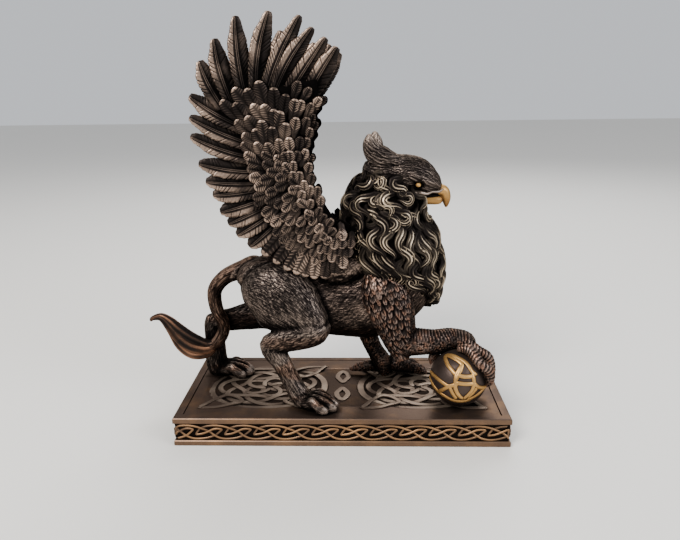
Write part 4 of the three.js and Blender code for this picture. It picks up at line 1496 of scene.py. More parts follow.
# How deep the eye's hollow is and how wide, and how wide the dark round it is
SOCKET_DEPTH = 0.0013
SOCKET_REACH = 0.0026
SOCKET_DARK = 0.0033

# Half the length, half the width, the spacing, the lean and the depth of the head's strokes
CROWN_STROKES = (0.0062, 0.00095, 0.0018)
CROWN_LEAN = 0.08
CROWN_DEPTH = 0.0008


def feathered_head(s):
    """The head with its brows and crest, in strokes that run back from the beak."""
    bm = bmesh.new()
    forms = [(SKULL, -1), (JAW, -1), (THROAT, 1)]
    forms += [(rows, 1) for rows in CRESTS] + [(brow(side), -1) for side in (-1, 1)]
    for rows, _ in forms:
        add_ball(bm, 32, 60, limb(rows))
    mesh = skin(bm, s.head_voxel, 4)
    co, normal = vertices_of(mesh), normals_of(mesh)
    way, _, _, strand = Growth(forms).at(co)
    strokes = carve(co, normal, way, fur_stroke, *CROWN_STROKES, SEEDS["crown"], lean=CROWN_LEAN)
    depth = CROWN_DEPTH * (strokes - 0.35)

    # A painted highlight at the crest's tips, dark round the eyes, and painted shade under the cheeks
    height = level_of(co)
    shade = 0.4 * ramp(149, 158, height)
    for side in (-1, 1):
        away = np.linalg.norm(co - EYE * (1, side, 1), axis=1)
        depth -= SOCKET_DEPTH * np.exp(-((away / SOCKET_REACH) ** 2))
        shade -= 1.5 * np.exp(-((away / SOCKET_DARK) ** 4))
    shade -= 0.8 * ramp(129, 126, height) * (co[:, 0] > 0.043)
    move_vertices(mesh, co + normal * depth[:, None])
    store(mesh, "strand", strand)
    store(mesh, "shade", shade)
    return mesh


def sphere(middle, radius):
    def put(along, angle):
        turn = along * math.pi
        way = np.column_stack([np.sin(turn) * np.cos(angle), np.sin(turn) * np.sin(angle), np.cos(turn)])
        return middle + way * radius

    return put


class GRIFFIN_OT_head(bpy.types.Operator):
    """Makes the eagle's head: brows, crest and cheeks in fine strokes, gilt beak and eyes"""

    bl_idname = "griffin.head"
    bl_label = "Head"

    def execute(self, context):
        s, orb = settings("body"), settings("orb")
        feathered = bronze(
            "head bronze", s.body, s.rubbed, s.hollow, rub=0.4, mottle=0.1, hair=0.3, bump=0.6
        )
        finished_mesh(feathered_head(s), "griffin_head", *GRIFFIN, [feathered])
        ridges, gilded = bmesh.new(), bmesh.new()
        for side in (-1, 1):
            add_ball(ridges, 12, 50, limb(gape(side)))
        ridge = bronze("gape bronze", s.body, s.rubbed, s.hollow, rub=0.4)
        finished(ridges, "griffin_gape", *GRIFFIN, [ridge])
        for rows in (UPPER_BEAK, LOWER_BEAK):
            add_ball(gilded, 32, 60, limb(rows))
        for side in (-1, 1):
            add_ball(gilded, 20, 16, sphere(EYE * (1, side, 1), EYE_RADIUS))
        gilt = bronze("beak gilt", orb.gilt, orb.glint, orb.beak_hollow, rub=0.5)
        finished(gilded, "griffin_beak_and_eyes", "griffin", "orb_gilt", [gilt])
        return {"FINISHED"}


# Griffin's mane

# The mane's length from the crown to the chest, and its middle under the locks
MANE_LENGTH = 0.092
MANE_CORE = placed([
    (30, 0, 142, 8, 8), (28, 0, 134, 17, 15), (26, 0, 122, 22, 19), (27, 0, 110, 25, 22),
    (30, 0, 97, 27.5, 24), (35, 0, 84, 26, 23), (42, 0, 74, 18, 18), (49, 0, 65, 10, 10),
    (54, 0, 58, 3, 4),
])

# How far the mane's ground lies under the locks' roots
GROUND_SINK = 0.0006

# The levels of the first and the last tier, and how many of them curl most strongly
FIRST_TIER = 0.04
TIERS_SPAN = 0.77
STRONG_TIERS = 3

# The face, bare of locks: half its angle at the crown, and how fast it narrows below
FACE_ANGLE = 1.25
FACE_NARROWS = 4.5

# Spots along the line that a lock follows, and the height of its ridges
LOCK_SPOTS = 33
LOCK_HEIGHT = 0.0015


def on_mane(level, angle, lift=0.0):
    """A spot on the mane: `level` runs down it from 0 to 1, `angle` goes round it from the face."""
    rows = straight(MANE_CORE, level)
    x = rows[:, 0] + (rows[:, 3] + lift) * np.cos(angle)
    y = rows[:, 1] + (rows[:, 4] + lift) * np.sin(angle)
    return np.column_stack([x, y, rows[:, 2]])


def mane_radius(level):
    """The mean of the mane's half depth and half width at a level."""
    return straight(MANE_CORE, np.array([level]))[0, 3:5].mean()


def summed(steps):
    """How far steps along a lock have led at each of its spots, as shares of its length."""
    return np.concatenate([[0], np.cumsum(steps[1:])]) / (LOCK_SPOTS - 1)


def lock(bm, s, level, angle, curl, rng, tones):
    """One lock: three ridges side by side that wave down from the root and hook at the tip."""
    share = np.linspace(0, 1, LOCK_SPOTS)
    heading = curl["wave"] * np.sin(math.tau * (curl["waves"] * share + curl["phase"]))
    heading = heading + curl["hook"] * ramp(0.7, 1, share)
    radius = mane_radius(min(level + 0.1, 1)) + 0.002
    down = summed(np.cos(heading)) * curl["length"] / MANE_LENGTH
    aside = summed(np.sin(heading)) * curl["length"] / radius
    line = np.column_stack([level + down, angle + aside])
    shade = rng.uniform(-0.15, 0.1) - 0.35 * ramp(0.6, 0.8, level)
    # Where along the lock its painted highlight is brightest
    highlight_at = rng.uniform(0.3, 0.75)
    step = 0.02

    def put(along, turn):
        spot, ahead, behind = (spline(line, along + shift) for shift in (0, step, -step))
        here = on_mane(spot[:, 0], spot[:, 1])
        run = unit(on_mane(ahead[:, 0], ahead[:, 1]) - on_mane(behind[:, 0], behind[:, 1]))
        out = here - straight(MANE_CORE, spot[:, 0])[:, :3]
        out = unit(out - run * (out * run).sum(1)[:, None])
        side = np.cross(run, out)

        # Its section: `u` runs across it, with three ridges on the upper face
        u = 1 - 2 * np.abs(turn) / math.pi
        upper = (turn > 0).astype(float)
        swell = (0.12 + 0.88 * np.sin(math.pi * np.clip(along, 0, 1) ** 0.75)) * inside_ends(along)
        ridge = 0.5 + 0.5 * np.cos(3 * math.pi * u)
        body = np.sqrt(np.clip(1 - 0.75 * u * u, 0, 1))
        height = upper * (0.55 * body + 0.9 * ridge * body) - (1 - upper) * 0.4
        lift = curl["lift"] * (ramp(-0.1, 0.55, along) - 0.45 * ramp(0.75, 1, along)) - 0.0004
        places = here + side * (u * s.lock * swell)[:, None]
        places = places + out * (lift + height * LOCK_HEIGHT * swell)[:, None]

        # Its paint: rubbed brightest along the middle ridge, with a painted highlight at one place along
        # it
        painted_highlight = ramp(0.05, 0.3, along) * (1 - 0.4 * ramp(0.9, 1, along))
        painted_highlight = painted_highlight * (0.4 + 0.7 * np.exp(-(((along - highlight_at) / 0.2) ** 2)))
        middle_ridge = 0.66 + 0.34 * (np.abs(u) < 0.35)
        tone = np.where(upper > 0, -0.4 + 1.45 * ridge * painted_highlight * middle_ridge, -0.8) + shade
        return places, tone

    add_ball(bm, 12, 28, put, tones)


def mane_locks(bm, s, tones):
    """The tiers of locks, each shifted by half a lock against the one over it."""
    rng = np.random.default_rng(SEEDS["mane"])
    for tier in range(s.tiers):
        level = FIRST_TIER + TIERS_SPAN * tier / (s.tiers - 1)
        count = max(8, round(mane_radius(level + 0.08) * math.tau / (s.lock * 1.7)))
        for index in range(count):
            angle = math.tau * (index + 0.5 * (tier % 2) + rng.uniform(-0.15, 0.15)) / count - math.pi
            if abs(angle) < FACE_ANGLE - FACE_NARROWS * level:
                continue
            mirror = -1 if angle < 0 else 1
            sway = 1.35 if tier < STRONG_TIERS else 0.95
            curl = {
                "wave": sway * mirror * rng.uniform(0.75, 1.25),
                "waves": rng.uniform(1.2, 1.7),
                "phase": 0.3 * math.sin(2 * angle + 2.4 * tier) + rng.uniform(-0.1, 0.1),
                "hook": mirror * rng.choice((-1.8, 1.4, 2.2)),
                "length": rng.uniform(0.026, 0.034),
                "lift": rng.uniform(0.0012, 0.0032),
            }
            lock(bm, s, level + rng.uniform(-0.015, 0.015), angle, curl, rng, tones)


class GRIFFIN_OT_mane(bpy.types.Operator):
    """Makes the mane: tiers of S-shaped locks that hang over each other round the neck"""

    bl_idname = "griffin.mane"
    bl_label = "Mane"

    def execute(self, context):
        body = settings("body")
        bm = bmesh.new()
        add_ball(bm, 48, 40, lambda along, angle: on_mane(along, angle, -GROUND_SINK))
        dark = bronze("mane ground", body.hollow, body.body, body.hollow, rub=0.5)
        finished(bm, "griffin_mane_ground", *GRIFFIN, [dark])
        bm, tones = bmesh.new(), []
        mane_locks(bm, settings("mane"), tones)
        pale = bronze("mane bronze", body.body, body.pale, body.hollow, rub=1.0, mottle=0.1)
        finished(bm, "griffin_mane", *GRIFFIN, [pale], tones=tones)
        return {"FINISHED"}


# Griffin's wings, laid out on the near one and mirrored for the far one

NEAR, FAR = "near wing", "far wing"

# The near wing's leading edge from its tip down, and the outline of the feathers' tips: x and z in
# millimetres in the wing's plane
WING_EDGE = np.array([
    (-12, 176), (-16.8, 167), (-18.6, 158.5), (-17.6, 151), (-15.9, 144), (-13.6, 136.8), (-9.6, 128.5),
    (-3.4, 117.8), (4, 106), (7, 88),
], float)
FEATHER_TIPS = np.array([
    (-5, 212), (-12, 217.5), (-19, 223.3), (-35, 225), (-52, 222.8), (-63.4, 212.4), (-73.6, 201.2),
    (-78.1, 184.6), (-79.6, 173.2), (-79.9, 162.1), (-76.5, 148.7), (-74, 137.7), (-70.6, 130.4),
    (-66.8, 120.8), (-59.5, 110), (-46.5, 98), (-34, 88), (-22.5, 81.5), (-10, 78.5),
], float)
# Half the thickness of the wing's flesh at each reach out from its leading edge, in millimetres
WING_LIFTS = np.array([(0, 2.4), (0.08, 4.2), (0.2, 4.4), (0.4, 3.4), (0.6, 1.9), (0.8, 0.5), (1, 0)])


def fan(share, reach):
    """A spot in a wing's fan: `share` goes down the leading edge, `reach` out to the feathers' tips."""
    share, reach = np.broadcast_arrays(np.asarray(share, float), np.asarray(reach, float))
    edge = spline(WING_EDGE, share)
    tip = spline(FEATHER_TIPS, share)
    return edge + (tip - edge) * reach[..., None]


def wing_out(flat):
    """How far out the wing's own middle lies, in millimetres."""
    return 20 + 6 * (flat[..., 1] - 82) / 140 + 8 * np.clip((-flat[..., 0] - 20) / 60, 0, 1)


def wing_lift(reach):
    """Half the thickness of the wing's flesh at a reach, in millimetres."""
    return np.interp(reach, WING_LIFTS[:, 0], WING_LIFTS[:, 1])


def raised(flat, out, face):
    """Spots of the near wing from their x, z and height off its middle on one face."""
    made = np.column_stack([flat[:, 0], -wing_out(flat) - face * out, flat[:, 1]]) * MM
    made[:, 2] += STAND
    return made


def lance(along, blunt):
    """How wide a long feather is along it, from lance-shaped to `blunt`."""
    keen = np.interp(
        along, (0, 0.3, 0.5, 0.62, 0.74, 0.85, 0.93, 1), (0.8, 1, 0.98, 0.92, 0.8, 0.64, 0.5, 0.38)
    )
    full = np.interp(along, (0, 0.4, 0.7, 0.82, 0.92, 1), (0.8, 1, 0.95, 0.86, 0.72, 0.6))
    end = 0.95 - 0.08 * blunt
    body = keen + (full - keen) * blunt
    return body * np.sqrt(1 - np.clip((along - end) / (1 - end), 0, 1) ** 2)


def feather_way(spots):
    """The way feathers point at each spot of the wing's plane, from the traced ones."""
    traced = np.concatenate([LONG_FEATHERS, MAIN_COVERTS])
    ways = unit(traced[:, :2] - traced[:, 2:])
    gap = ((spots[:, None] - (traced[:, :2] + traced[:, 2:]) / 2) ** 2).sum(2) + 6.0
    return unit(((gap**-1.5)[..., None] * ways).sum(1))


def flesh_at(spots):
    """Half the thickness of the wing's flesh at each spot of its plane, in millimetres."""
    shares, reaches = np.meshgrid(np.linspace(0, 1, 46), np.linspace(-0.04, 1, 27))
    known = fan(shares.ravel(), reaches.ravel())
    closest = ((spots[:, None] - known) ** 2).sum(2).argmin(1)
    return wing_lift(reaches.ravel()[closest])


# The lines along a long feather: where they lie across it, from its lapped edge to the far one, and
# how bright they are: the lapped vane with a painted highlight, the far vane in painted shade, and
# rubbed rims and shaft lines between dark grooves. Two of them are the shaft's, whose middle lies at
# SHAFT.
SHAFT = 0.1
SHAFT_LINES = (4, 6)
VANE_LINES = np.array([
    (1, 0.85), (0.8, 0.72), (0.5, 0.7), (0.27, -0.5), (0.18, 0.7), (0.1, -0.6), (0.02, 0.6),
    (-0.07, -0.6), (-0.45, 0), (-0.84, 0.15), (-1, 0.6),
])


def long_feather(s, tip, root, width, bend, blunt, rng):
    """A lance-shaped feather with a double shaft line and slanting slits in both vanes.

    Each barb takes three steps: the slit before it, its near side and its far side.
    """
    run = tip - root
    length = np.hypot(*run)
    run = run / length
    side = np.array((run[1], -run[0]))
    barbs = round(length * MM / s.barb_pitch)
    steps = 3 * barbs
    deep = s.barb_depth / MM
    slant = min(1.4, 0.13 * length / width)
    slits = rng.uniform(0, 1, (2, barbs + 1))
    slits = np.where(slits < 0.42, 0.08, 0.35 + 0.65 * slits)
    lines = len(VANE_LINES) - 1

    def put(along, angle):
        line = np.rint(np.abs(angle) / math.pi * lines).astype(int)
        # Each line's place across and its tone, which holds the vanes' painted highlight and painted
        # shade
        u, painted = VANE_LINES[line, 0], VANE_LINES[line, 1]
        face = np.where(angle > 0, 1.0, -1.0)
        count = np.rint(along * steps).astype(int)
        barb, part = count // 3, count % 3
        spread = np.minimum((3 * barb + np.array((0.0, 0.6, 2.4))[part]) / steps, 1)
        taper = lance(along, blunt)
        off = np.abs(u - SHAFT)
        slit = slits[(u > SHAFT).astype(int), barb] * (part == 0)
        slit = slit * (1 - 0.8 * ramp(0.72, 0.9, along))
        half = width * taper * (1 - 0.12 * slit * (np.abs(u) > 0.9))
        window = ramp(0, 0.1, along) * (1 - ramp(0.6, 0.92, along))
        ahead = spread * length + slant * off * half * window
        barbed = ramp(0.2, 0.5, off) * np.minimum(1, taper * 1.6)
        stem = np.isin(line, SHAFT_LINES)
        crown = s.thickness / MM / 2 * (1 - 0.7 * u * u) * np.minimum(1, taper * 2.2)
        closed = inside_ends(along)
        height = (crown + 0.35 * stem * taper + deep * (0.4 - slit) * barbed) * face * closed
        height = height + s.shingle / MM * u * taper
        aside = u * half + bend * np.sin(math.pi * along) * length * 0.05
        flat = root + run * ahead[:, None] + side * (-aside * closed)[:, None]

        # Dark in the slits, painted shade towards the root where the coverts lie over it, and a little
        # brighter at the tip
        tone = painted - np.where(u > SHAFT, 1.5, 0.8) * slit * barbed - 0.12 * (part == 1) * barbed
        tone = tone - 0.4 * (1 - ramp(0.3, 0.55, along)) + 0.1 * ramp(0.85, 1, along)
        return raised(flat, height, 1), tone

    return steps, put


# Coverts longer than this are barbed less strongly, but more finely on the outer face
LONG_COVERT = 14.5


def covert(tip, way, length, width, face, steps, rng):
    """A short feather with a round end that stands off one face of a wing at its tip."""
    root = tip - way * length
    side = np.array((way[1], -way[0]))
    base, top = flesh_at(np.array([root, tip])) + (-0.6, rng.uniform(0.9, 1.5))
    shade = rng.uniform(-0.25, 0.2) + 0.2 * (rng.uniform() > 0.85)
    round_from = 1 - 2.1 * width / length
    barbed = 0.95 - 0.25 * (length > LONG_COVERT)

    def put(along, angle):
        u = 1 - 2 * np.abs(angle) / math.pi
        upper = (angle > 0).astype(float)
        reach = 1 - (1 - along) ** 1.2
        tip_round = np.sqrt(1 - np.clip((reach - round_from) / (1 - round_from), 0, 1) ** 2)
        half = width * tip_round * (0.65 + 0.35 * ramp(0, 0.5, reach))
        slant = 1.7 * np.abs(u) * half * np.minimum(1, 6 * reach) * (1 - reach)

        # Every second row of vertices is the crest of a barb, out to the rim and beside the stem
        row = np.rint(along * steps).astype(int)
        barb = (row % 2) * ramp(0.1, 0.3, np.abs(u)) * (1 - ramp(0.9, 0.96, reach))
        rim = ramp(0.88, 0.94, reach)
        stem = np.exp(-((u / 0.12) ** 2)) * (1 - ramp(0.7, 0.85, reach))
        crown = 0.45 * (1 - 0.85 * u * u) * np.minimum(1, 2 * tip_round)
        closed = inside_ends(along)
        relief = (0.1 * rim + 0.3 * barb - 0.08 * stem) * np.minimum(1, 2 * tip_round)
        height = base + (top - base) * reach + upper * closed * (crown + relief)
        height = height - (1 - upper) * closed * 0.4
        flat = root + way * (reach * length + slant)[:, None] + side * (u * half * closed)[:, None]
        tone = -0.28 + barbed * barb * ramp(0.2, 0.45, reach) + 0.85 * rim - 0.15 * stem
        return raised(flat, height, face), np.where(upper > 0, tone, -0.9) + shade

    return put


# The long feathers from the front of the wing round to the flank: x and z of each one's tip and of
# the spot where it comes out from under the coverts
LONG_FEATHERS = np.array([
    (0.1, 207.1, -12.7, 186.9), (-5.7, 211.8, -24.7, 184.8), (-12.5, 216.8, -29.3, 188.2),
    (-19, 222.8, -35.3, 183.7), (-34.8, 224.9, -40.7, 192.9), (-51.8, 222.6, -48.4, 189.6),
    (-63.2, 211.7, -57.2, 187.4), (-71.6, 200.9, -63.8, 184.1), (-78.2, 183.4, -57.8, 171.3),
    (-79.2, 172.5, -50.5, 160.4), (-79.5, 162.6, -49.1, 153), (-76.4, 148, -50.5, 144.3),
    (-73.4, 138, -49.1, 137), (-70.2, 130.3, -49.3, 132.6), (-66.9, 120.5, -45.5, 127.1),
    (-63, 113.6, -44.5, 121.9), (-58.6, 106.6, -41.1, 117.6), (-52.1, 99.6, -37.7, 112.4),
    (-44.8, 94.2, -32.8, 106.8), (-38.2, 89, -28.6, 101.6), (-32.1, 84.8, -24.2, 97.1),
    (-26.6, 81.9, -20.6, 93.7), (-21.3, 80, -17.4, 91.7), (-15.9, 78.8, -13.7, 90.3),
    (-10.1, 79, -8, 88.3), (-3.7, 81.6, -2.3, 90.4), (1.5, 86.3, 1.5, 93.4),
])
# The larger coverts, from each one's tip to its root in the same way
MAIN_COVERTS = np.array([
    (-8.5, 181.7, -19.2, 170.1), (-13.9, 186.9, -22.2, 175.4), (-20, 190.4, -24.5, 178.6),
    (-26.8, 184, -30, 170.3), (-33.4, 187.5, -33.1, 169.3), (-41.5, 191, -37.1, 172.2),
    (-48, 187.1, -40.9, 172.5), (-54.9, 187.4, -43, 172.3), (-61.7, 181.2, -51.4, 169.6),
    (-21.8, 171.9, -24.2, 162.2), (-27.4, 169.2, -29.2, 159.6), (-35.2, 167.4, -34.6, 158.6),
    (-40.7, 170.9, -39.4, 160.8), (-48.8, 172.9, -43.4, 165.2), (-54.9, 170.7, -46.7, 163.1),
    (-15.9, 171.8, -20.5, 159.4), (-17.3, 155, -20.9, 145.7), (-15.5, 147.6, -18.4, 137.3),
    (-21, 143, -23, 131.8), (-15.2, 135.1, -17.4, 126), (-10.1, 123, -13.2, 114.4),
    (-3.4, 116, -7.5, 110.8), (-50.4, 144.8, -42.4, 143.5), (-46.9, 133.9, -38.4, 136.7),
    (-47.4, 124.1, -39.8, 130), (-41.9, 114.6, -34.1, 123), (-38, 106.1, -29.9, 114.7),
    (-30.4, 97.4, -24.5, 107.5), (-41.9, 153.4, -35, 149.9), (-39.7, 143.5, -32.7, 142.2),
    (-35.8, 133.3, -28.5, 136.5), (-36.3, 122.5, -29.4, 128.6), (-30, 112.4, -24.1, 119.2),
    (-24.6, 106.9, -19.8, 113.2),
])
# The outline inside which the other coverts have their tips
COVERED = np.array([
    (-13, 186), (-27, 187), (-42, 190), (-56, 187), (-62, 180), (-55, 166), (-51, 154), (-50, 144),
    (-48, 124), (-41, 111), (-33, 99), (-25, 92), (-15, 87), (0, 88), (7, 90), (8, 104.5), (-1.5, 116),
    (-8.5, 127), (-13, 139), (-15.5, 151), (-15, 163), (-11.5, 175),
], float)

# How many places are tried for them, and how much their ways stray from their neighbours'
STREWN_TRIED = 6000
STREWN_STRAY = 0.13

# How many of those rows are long feathers: the rest, along the flank, are made like coverts
LONG_COUNT = 18

# The long feathers that are shorter on the far wing, and the share of their length that is left
FAR_SHORT = slice(2, 9)
FAR_SHARE = 0.86

# The outer and the inner face of a wing, with the sides and steps of a covert's mesh on it
COVERT_FACES = ((1, 16, 18), (-1, 10, 12))


def inside(outline, spots):
    """Whether each spot lies inside a closed outline."""
    ends = np.roll(outline, -1, axis=0)
    crossed = np.zeros(len(spots), bool)
    for (x0, y0), (x1, y1) in zip(outline, ends):
        spans = (y0 > spots[:, 1]) != (y1 > spots[:, 1])
        rise = (spots[:, 1] - y0) / (y1 - y0) if y1 != y0 else 0
        crossed ^= spans & (spots[:, 0] < x0 + rise * (x1 - x0))
    return crossed


def covert_plan(rng):
    """The coverts' tips, ways and sizes: the traced ones, and others strewn between them."""
    traced = len(MAIN_COVERTS)
    strewn = rng.uniform(COVERED.min(0), COVERED.max(0), (STREWN_TRIED, 2))
    tips = np.concatenate([MAIN_COVERTS[:, :2], strewn[inside(COVERED, strewn)]])
    ways = feather_way(tips)
    ways = unit(ways + rng.normal(0, STREWN_STRAY, ways.shape))
    ways[:traced] = unit(MAIN_COVERTS[:, :2] - MAIN_COVERTS[:, 2:])

    # Larger towards the top and the back of the wing, and broad and short at its foot
    growth = ramp(150, 182, tips[:, 1]) * ramp(-17, -30, tips[:, 0])
    low = 1 - ramp(98, 114, tips[:, 1])
    widths = 2.9 + 0.5 * growth + 0.5 * ramp(-12, -40, tips[:, 0]) + 0.4 * low
    lengths = 11 + 6 * growth + 2.5 * ramp(-10, -45, tips[:, 0])
    gaps = 5.6 + 3.8 * growth - 0.9 * low
    chosen = []
    for index, (tip, way) in enumerate(zip(tips, ways)):
        away = tips[chosen] - tip
        ahead, aside = away @ way, away @ np.array((way[1], -way[0]))
        near = (ahead / gaps[index]) ** 2 + (aside / (widths[index] * 1.2)) ** 2 < 1
        if index < traced or not near.any():
            chosen.append(index)
    return [(tips[k], ways[k], lengths[k], widths[k] * rng.uniform(0.88, 1.12)) for k in chosen]


def wing_core(bm, tones):
    def put(along, angle):
        u = 1 - 2 * np.abs(angle) / math.pi
        face = np.where(angle > 0, 1.0, -1.0)
        swell = 0.05 * np.exp(-(((along - 0.85) / 0.06) ** 2))
        wide = 0.21 + 0.22 * ramp(0.55, 0.75, along) + swell
        reach = wide * (u + 1) + 0.02
        full = inside_ends(along)
        flat = fan(along, reach * full + 0.2 * (1 - full))
        lift = np.maximum(wing_lift(reach) - 0.9, 0.5) * np.clip((1 - np.abs(u)) * 5, 0, 1) * full
        return raised(flat, lift * face, 1), np.full(len(u), -0.7)

    add_ball(bm, 32, 40, put, tones)


def wing_feathers(bm, s, side, rng, tones):
    """All the feathers of a wing: the long ones, then the short ones on each face."""
    tips, roots = LONG_FEATHERS[:, :2].copy(), LONG_FEATHERS[:, 2:]
    if side == FAR:
        tips[FAR_SHORT] = roots[FAR_SHORT] + (tips[FAR_SHORT] - roots[FAR_SHORT]) * FAR_SHARE
    middles = tips * 0.6 + roots * 0.4
    gaps = np.linalg.norm(np.diff(middles, axis=0), axis=1)
    spacing = (np.append(gaps, gaps[-1]) + np.append(gaps[0], gaps)) / 2
    for index in range(LONG_COUNT):
        tip, inner = tips[index], roots[index]
        root = inner + (inner - tip) * 0.45
        bend = (1 if index < 12 else 0.3) * (0.7 if index > 1 else 0) + rng.uniform(-0.2, 0.2)
        blunt = 0.9 * ramp(8, 14, index)
        width = np.clip(spacing[index] * (0.72 + 0.14 * blunt), 3, 5.4)
        steps, put = long_feather(s, tip, root, width, bend, blunt, rng)
        add_ball(bm, 2 * (len(VANE_LINES) - 1), steps, put, tones)
    hanging = [
        (tip, unit(tip - root), np.hypot(*(tip - root)) * 1.9, 3.7)
        for tip, root in zip(tips[LONG_COUNT:], roots[LONG_COUNT:])
    ]
    for face, sides, rows in COVERT_FACES:
        for tip, way, length, width in hanging + covert_plan(rng):
            steps = rows + (4 if length > LONG_COVERT and face > 0 else 0)
            add_ball(bm, sides, steps, covert(tip, way, length, width, face, steps, rng), tones)


# How far the far wing's leading edge is drawn back, at heights in millimetres
FAR_EDGE_BACK = np.array([(88, 4), (108, 10), (118, 12), (129, 8.5), (143, 2.5), (160, 0)])


def draw_back(co):
    """The far wing's vertices with its leading edge drawn back."""
    back = np.interp(level_of(co), FAR_EDGE_BACK[:, 0], FAR_EDGE_BACK[:, 1]) * MM
    co[:, 0] -= back * ramp(-0.045, -0.01, co[:, 0])
    return co


def make_wing(side):
    """The near wing, or its mirror image with the leading edge drawn back."""
    s, body = settings("wing"), settings("body")
    bm, tones = bmesh.new(), []
    wing_core(bm, tones)
    wing_feathers(bm, s, side, np.random.default_rng(SEEDS[side]), tones)
    if side == FAR:
        bmesh.ops.transform(bm, matrix=Matrix.Scale(-1, 4, (0, 1, 0)), verts=bm.verts)
    plumage = bronze(side + " bronze", body.body, body.plume, body.hollow, rub=0.9, mottle=0.15)
    piece = "griffin_" + side.replace(" ", "_")
    wing = finished(bm, piece, *GRIFFIN, [plumage], tones=tones)
    if side == FAR:
        move_vertices(wing.data, draw_back(vertices_of(wing.data)))


class GRIFFIN_OT_wings(bpy.types.Operator):
    """Makes both wings: fans of long feathers under rows of coverts on each face"""

    bl_idname = "griffin.wings"
    bl_label = "Wings"

    def execute(self, context):
        make_wing(NEAR)
        make_wing(FAR)
        return {"FINISHED"}


# Patina: how far each spot stands out, and how open it is to the cloth that rubs it; closed-in spots also
# get painted shade

# How far fine and broad ridges stand out when fully rubbed, and the rounds of averaging that make
# their surroundings
FINE_RIDGE = 0.00013
FINE_ROUNDS = 4
BROAD_RIDGE = 0.0004
BROAD_ROUNDS = 24

# How far a way outwards has to stay clear, where it starts, and its least slant, as a cosine
OPEN_REACH = 0.011
OPEN_START = 0.00012
OPEN_SLANT = 0.25


def relief_of(mesh):
    """From -1 in fine grooves to 1 on fine ridges: as painted on, or as worked out from the shape."""
    if "tone" in mesh.attributes:
        return np.clip(read(mesh.attributes["tone"].data, "value"), -1, 1)
    co, normal, edges = vertices_of(mesh), normals_of(mesh), edges_of(mesh)
    fine = ((co - averaged(co, edges, FINE_ROUNDS)) * normal).sum(1) / FINE_RIDGE
    broad = ((co - averaged(co, edges, BROAD_ROUNDS)) * normal).sum(1) / BROAD_RIDGE
    relief = 0.5 * fine + 0.6 * broad
    # The stored shade adds painted shade and painted highlights, and the forelegs' blotches
    if "shade" in mesh.attributes:
        relief = relief + read(mesh.attributes["shade"].data, "value")
    return np.clip(relief, -1, 1)


def openness(meshes):
    """For each mesh, the share of ways outwards from each vertex that stay clear for a short way."""
    spots, triangles = [vertices_of(mesh) for mesh in meshes], []
    start = 0
    for mesh in meshes:
        mesh.calc_loop_triangles()
        triangles.append(read(mesh.loop_triangles, "vertices", 3, np.int32) + start)
        start += len(mesh.vertices)
    tree = BVHTree.FromPolygons(np.vstack(spots).tolist(), np.vstack(triangles).tolist())
    steps = (-1, 0, 1)
    ways = [(x, y, z) for x in steps for y in steps for z in steps if (x, y, z) != (0, 0, 0)]
    ways = unit(np.array(ways, float))[::2]
    rays = [Vector(way) for way in ways]
    results = []
    for mesh, co in zip(meshes, spots):
        normal = normals_of(mesh)
        facing = normal @ ways.T > OPEN_SLANT
        starts = co + normal * OPEN_START
        clear = np.ones(len(co))
        for index, (spot, row) in enumerate(zip(starts.tolist(), facing)):
            chosen = np.flatnonzero(row)
            if len(chosen):
                free = sum(tree.ray_cast(spot, rays[k], OPEN_REACH)[0] is None for k in chosen)
                clear[index] = free / len(chosen)
        results.append(averaged(clear, edges_of(mesh), 2))
    return results


class GRIFFIN_OT_patina(bpy.types.Operator):
    """Finds the ridges and hollows of every piece, and how closed in each spot is, for the patina and its
    painted shade to follow
    """

    bl_idname = "griffin.patina"
    bl_label = "Patina"

    def execute(self, context):
        meshes = [obj.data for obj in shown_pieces() if obj.type == "MESH"]
        for mesh in meshes:
            store(mesh, "relief", relief_of(mesh))
        clear = openness(meshes)
        for mesh, values in zip(meshes, clear):
            store(mesh, "open", values)
        return {"FINISHED"}


# Stage: floor, lights and the camera at the photograph's place

# The camera's place, its turns in radians, and its focal length in millimetres
CAMERA_SPOT = (0.010752, -0.368862, 0.203121)
CAMERA_YAW = -0.0313
CAMERA_PITCH = 0.2809
CAMERA_ROLL = -0.0124
CAMERA_LENS = 32.82

# The soft lights: name, place, width, the setting of the power, and colour
LIGHTS = [
    ("key", (-0.55, -0.75, 0.95), 0.6, "key_power", (1.0, 0.97, 0.93)),
    ("fill", (0.9, -0.55, 0.6), 0.7, "fill_power", (0.93, 0.96, 1.0)),
    ("back", (0.2, 0.8, 0.9), 0.8, "fill_power", (1.0, 1.0, 1.0)),
]
LIT_SPOT = Vector((0, 0, 0.1))
ROOM_COLOUR = (0.92, 0.95, 1.0, 1)
FLOOR_ROUGHNESS = 0.75


def camera_turn():
    """The camera's right, up and backward directions as the columns of a rotation."""
    ahead = Vector((
        math.sin(CAMERA_YAW) * math.cos(CAMERA_PITCH), math.cos(CAMERA_YAW) * math.cos(CAMERA_PITCH),
        -math.sin(CAMERA_PITCH),
    ))
    level = Vector((math.cos(CAMERA_YAW), -math.sin(CAMERA_YAW), 0))
    top = level.cross(ahead)
    right = level * math.cos(CAMERA_ROLL) + top * math.sin(CAMERA_ROLL)
    up = top * math.cos(CAMERA_ROLL) - level * math.sin(CAMERA_ROLL)
    return Matrix((right, up, -ahead)).transposed()


def soft_light(name, spot, size, power, colour):
    light = bpy.data.lights.new(name, "AREA")
    light.shape = "DISK"
    light.size = size
    light.energy = power
    light.color = colour
    obj = linked(name, light)
    obj.location = spot
    obj.rotation_euler = (LIT_SPOT - Vector(spot)).to_track_quat("-Z", "Y").to_euler()


def camera_view(scene):
    camera = bpy.data.cameras.new("camera")
    camera.lens = CAMERA_LENS
    camera.clip_start = 0.01
    viewer = linked("camera", camera)
    viewer.matrix_world = Matrix.Translation(CAMERA_SPOT) @ camera_turn().to_4x4()
    scene.camera = viewer


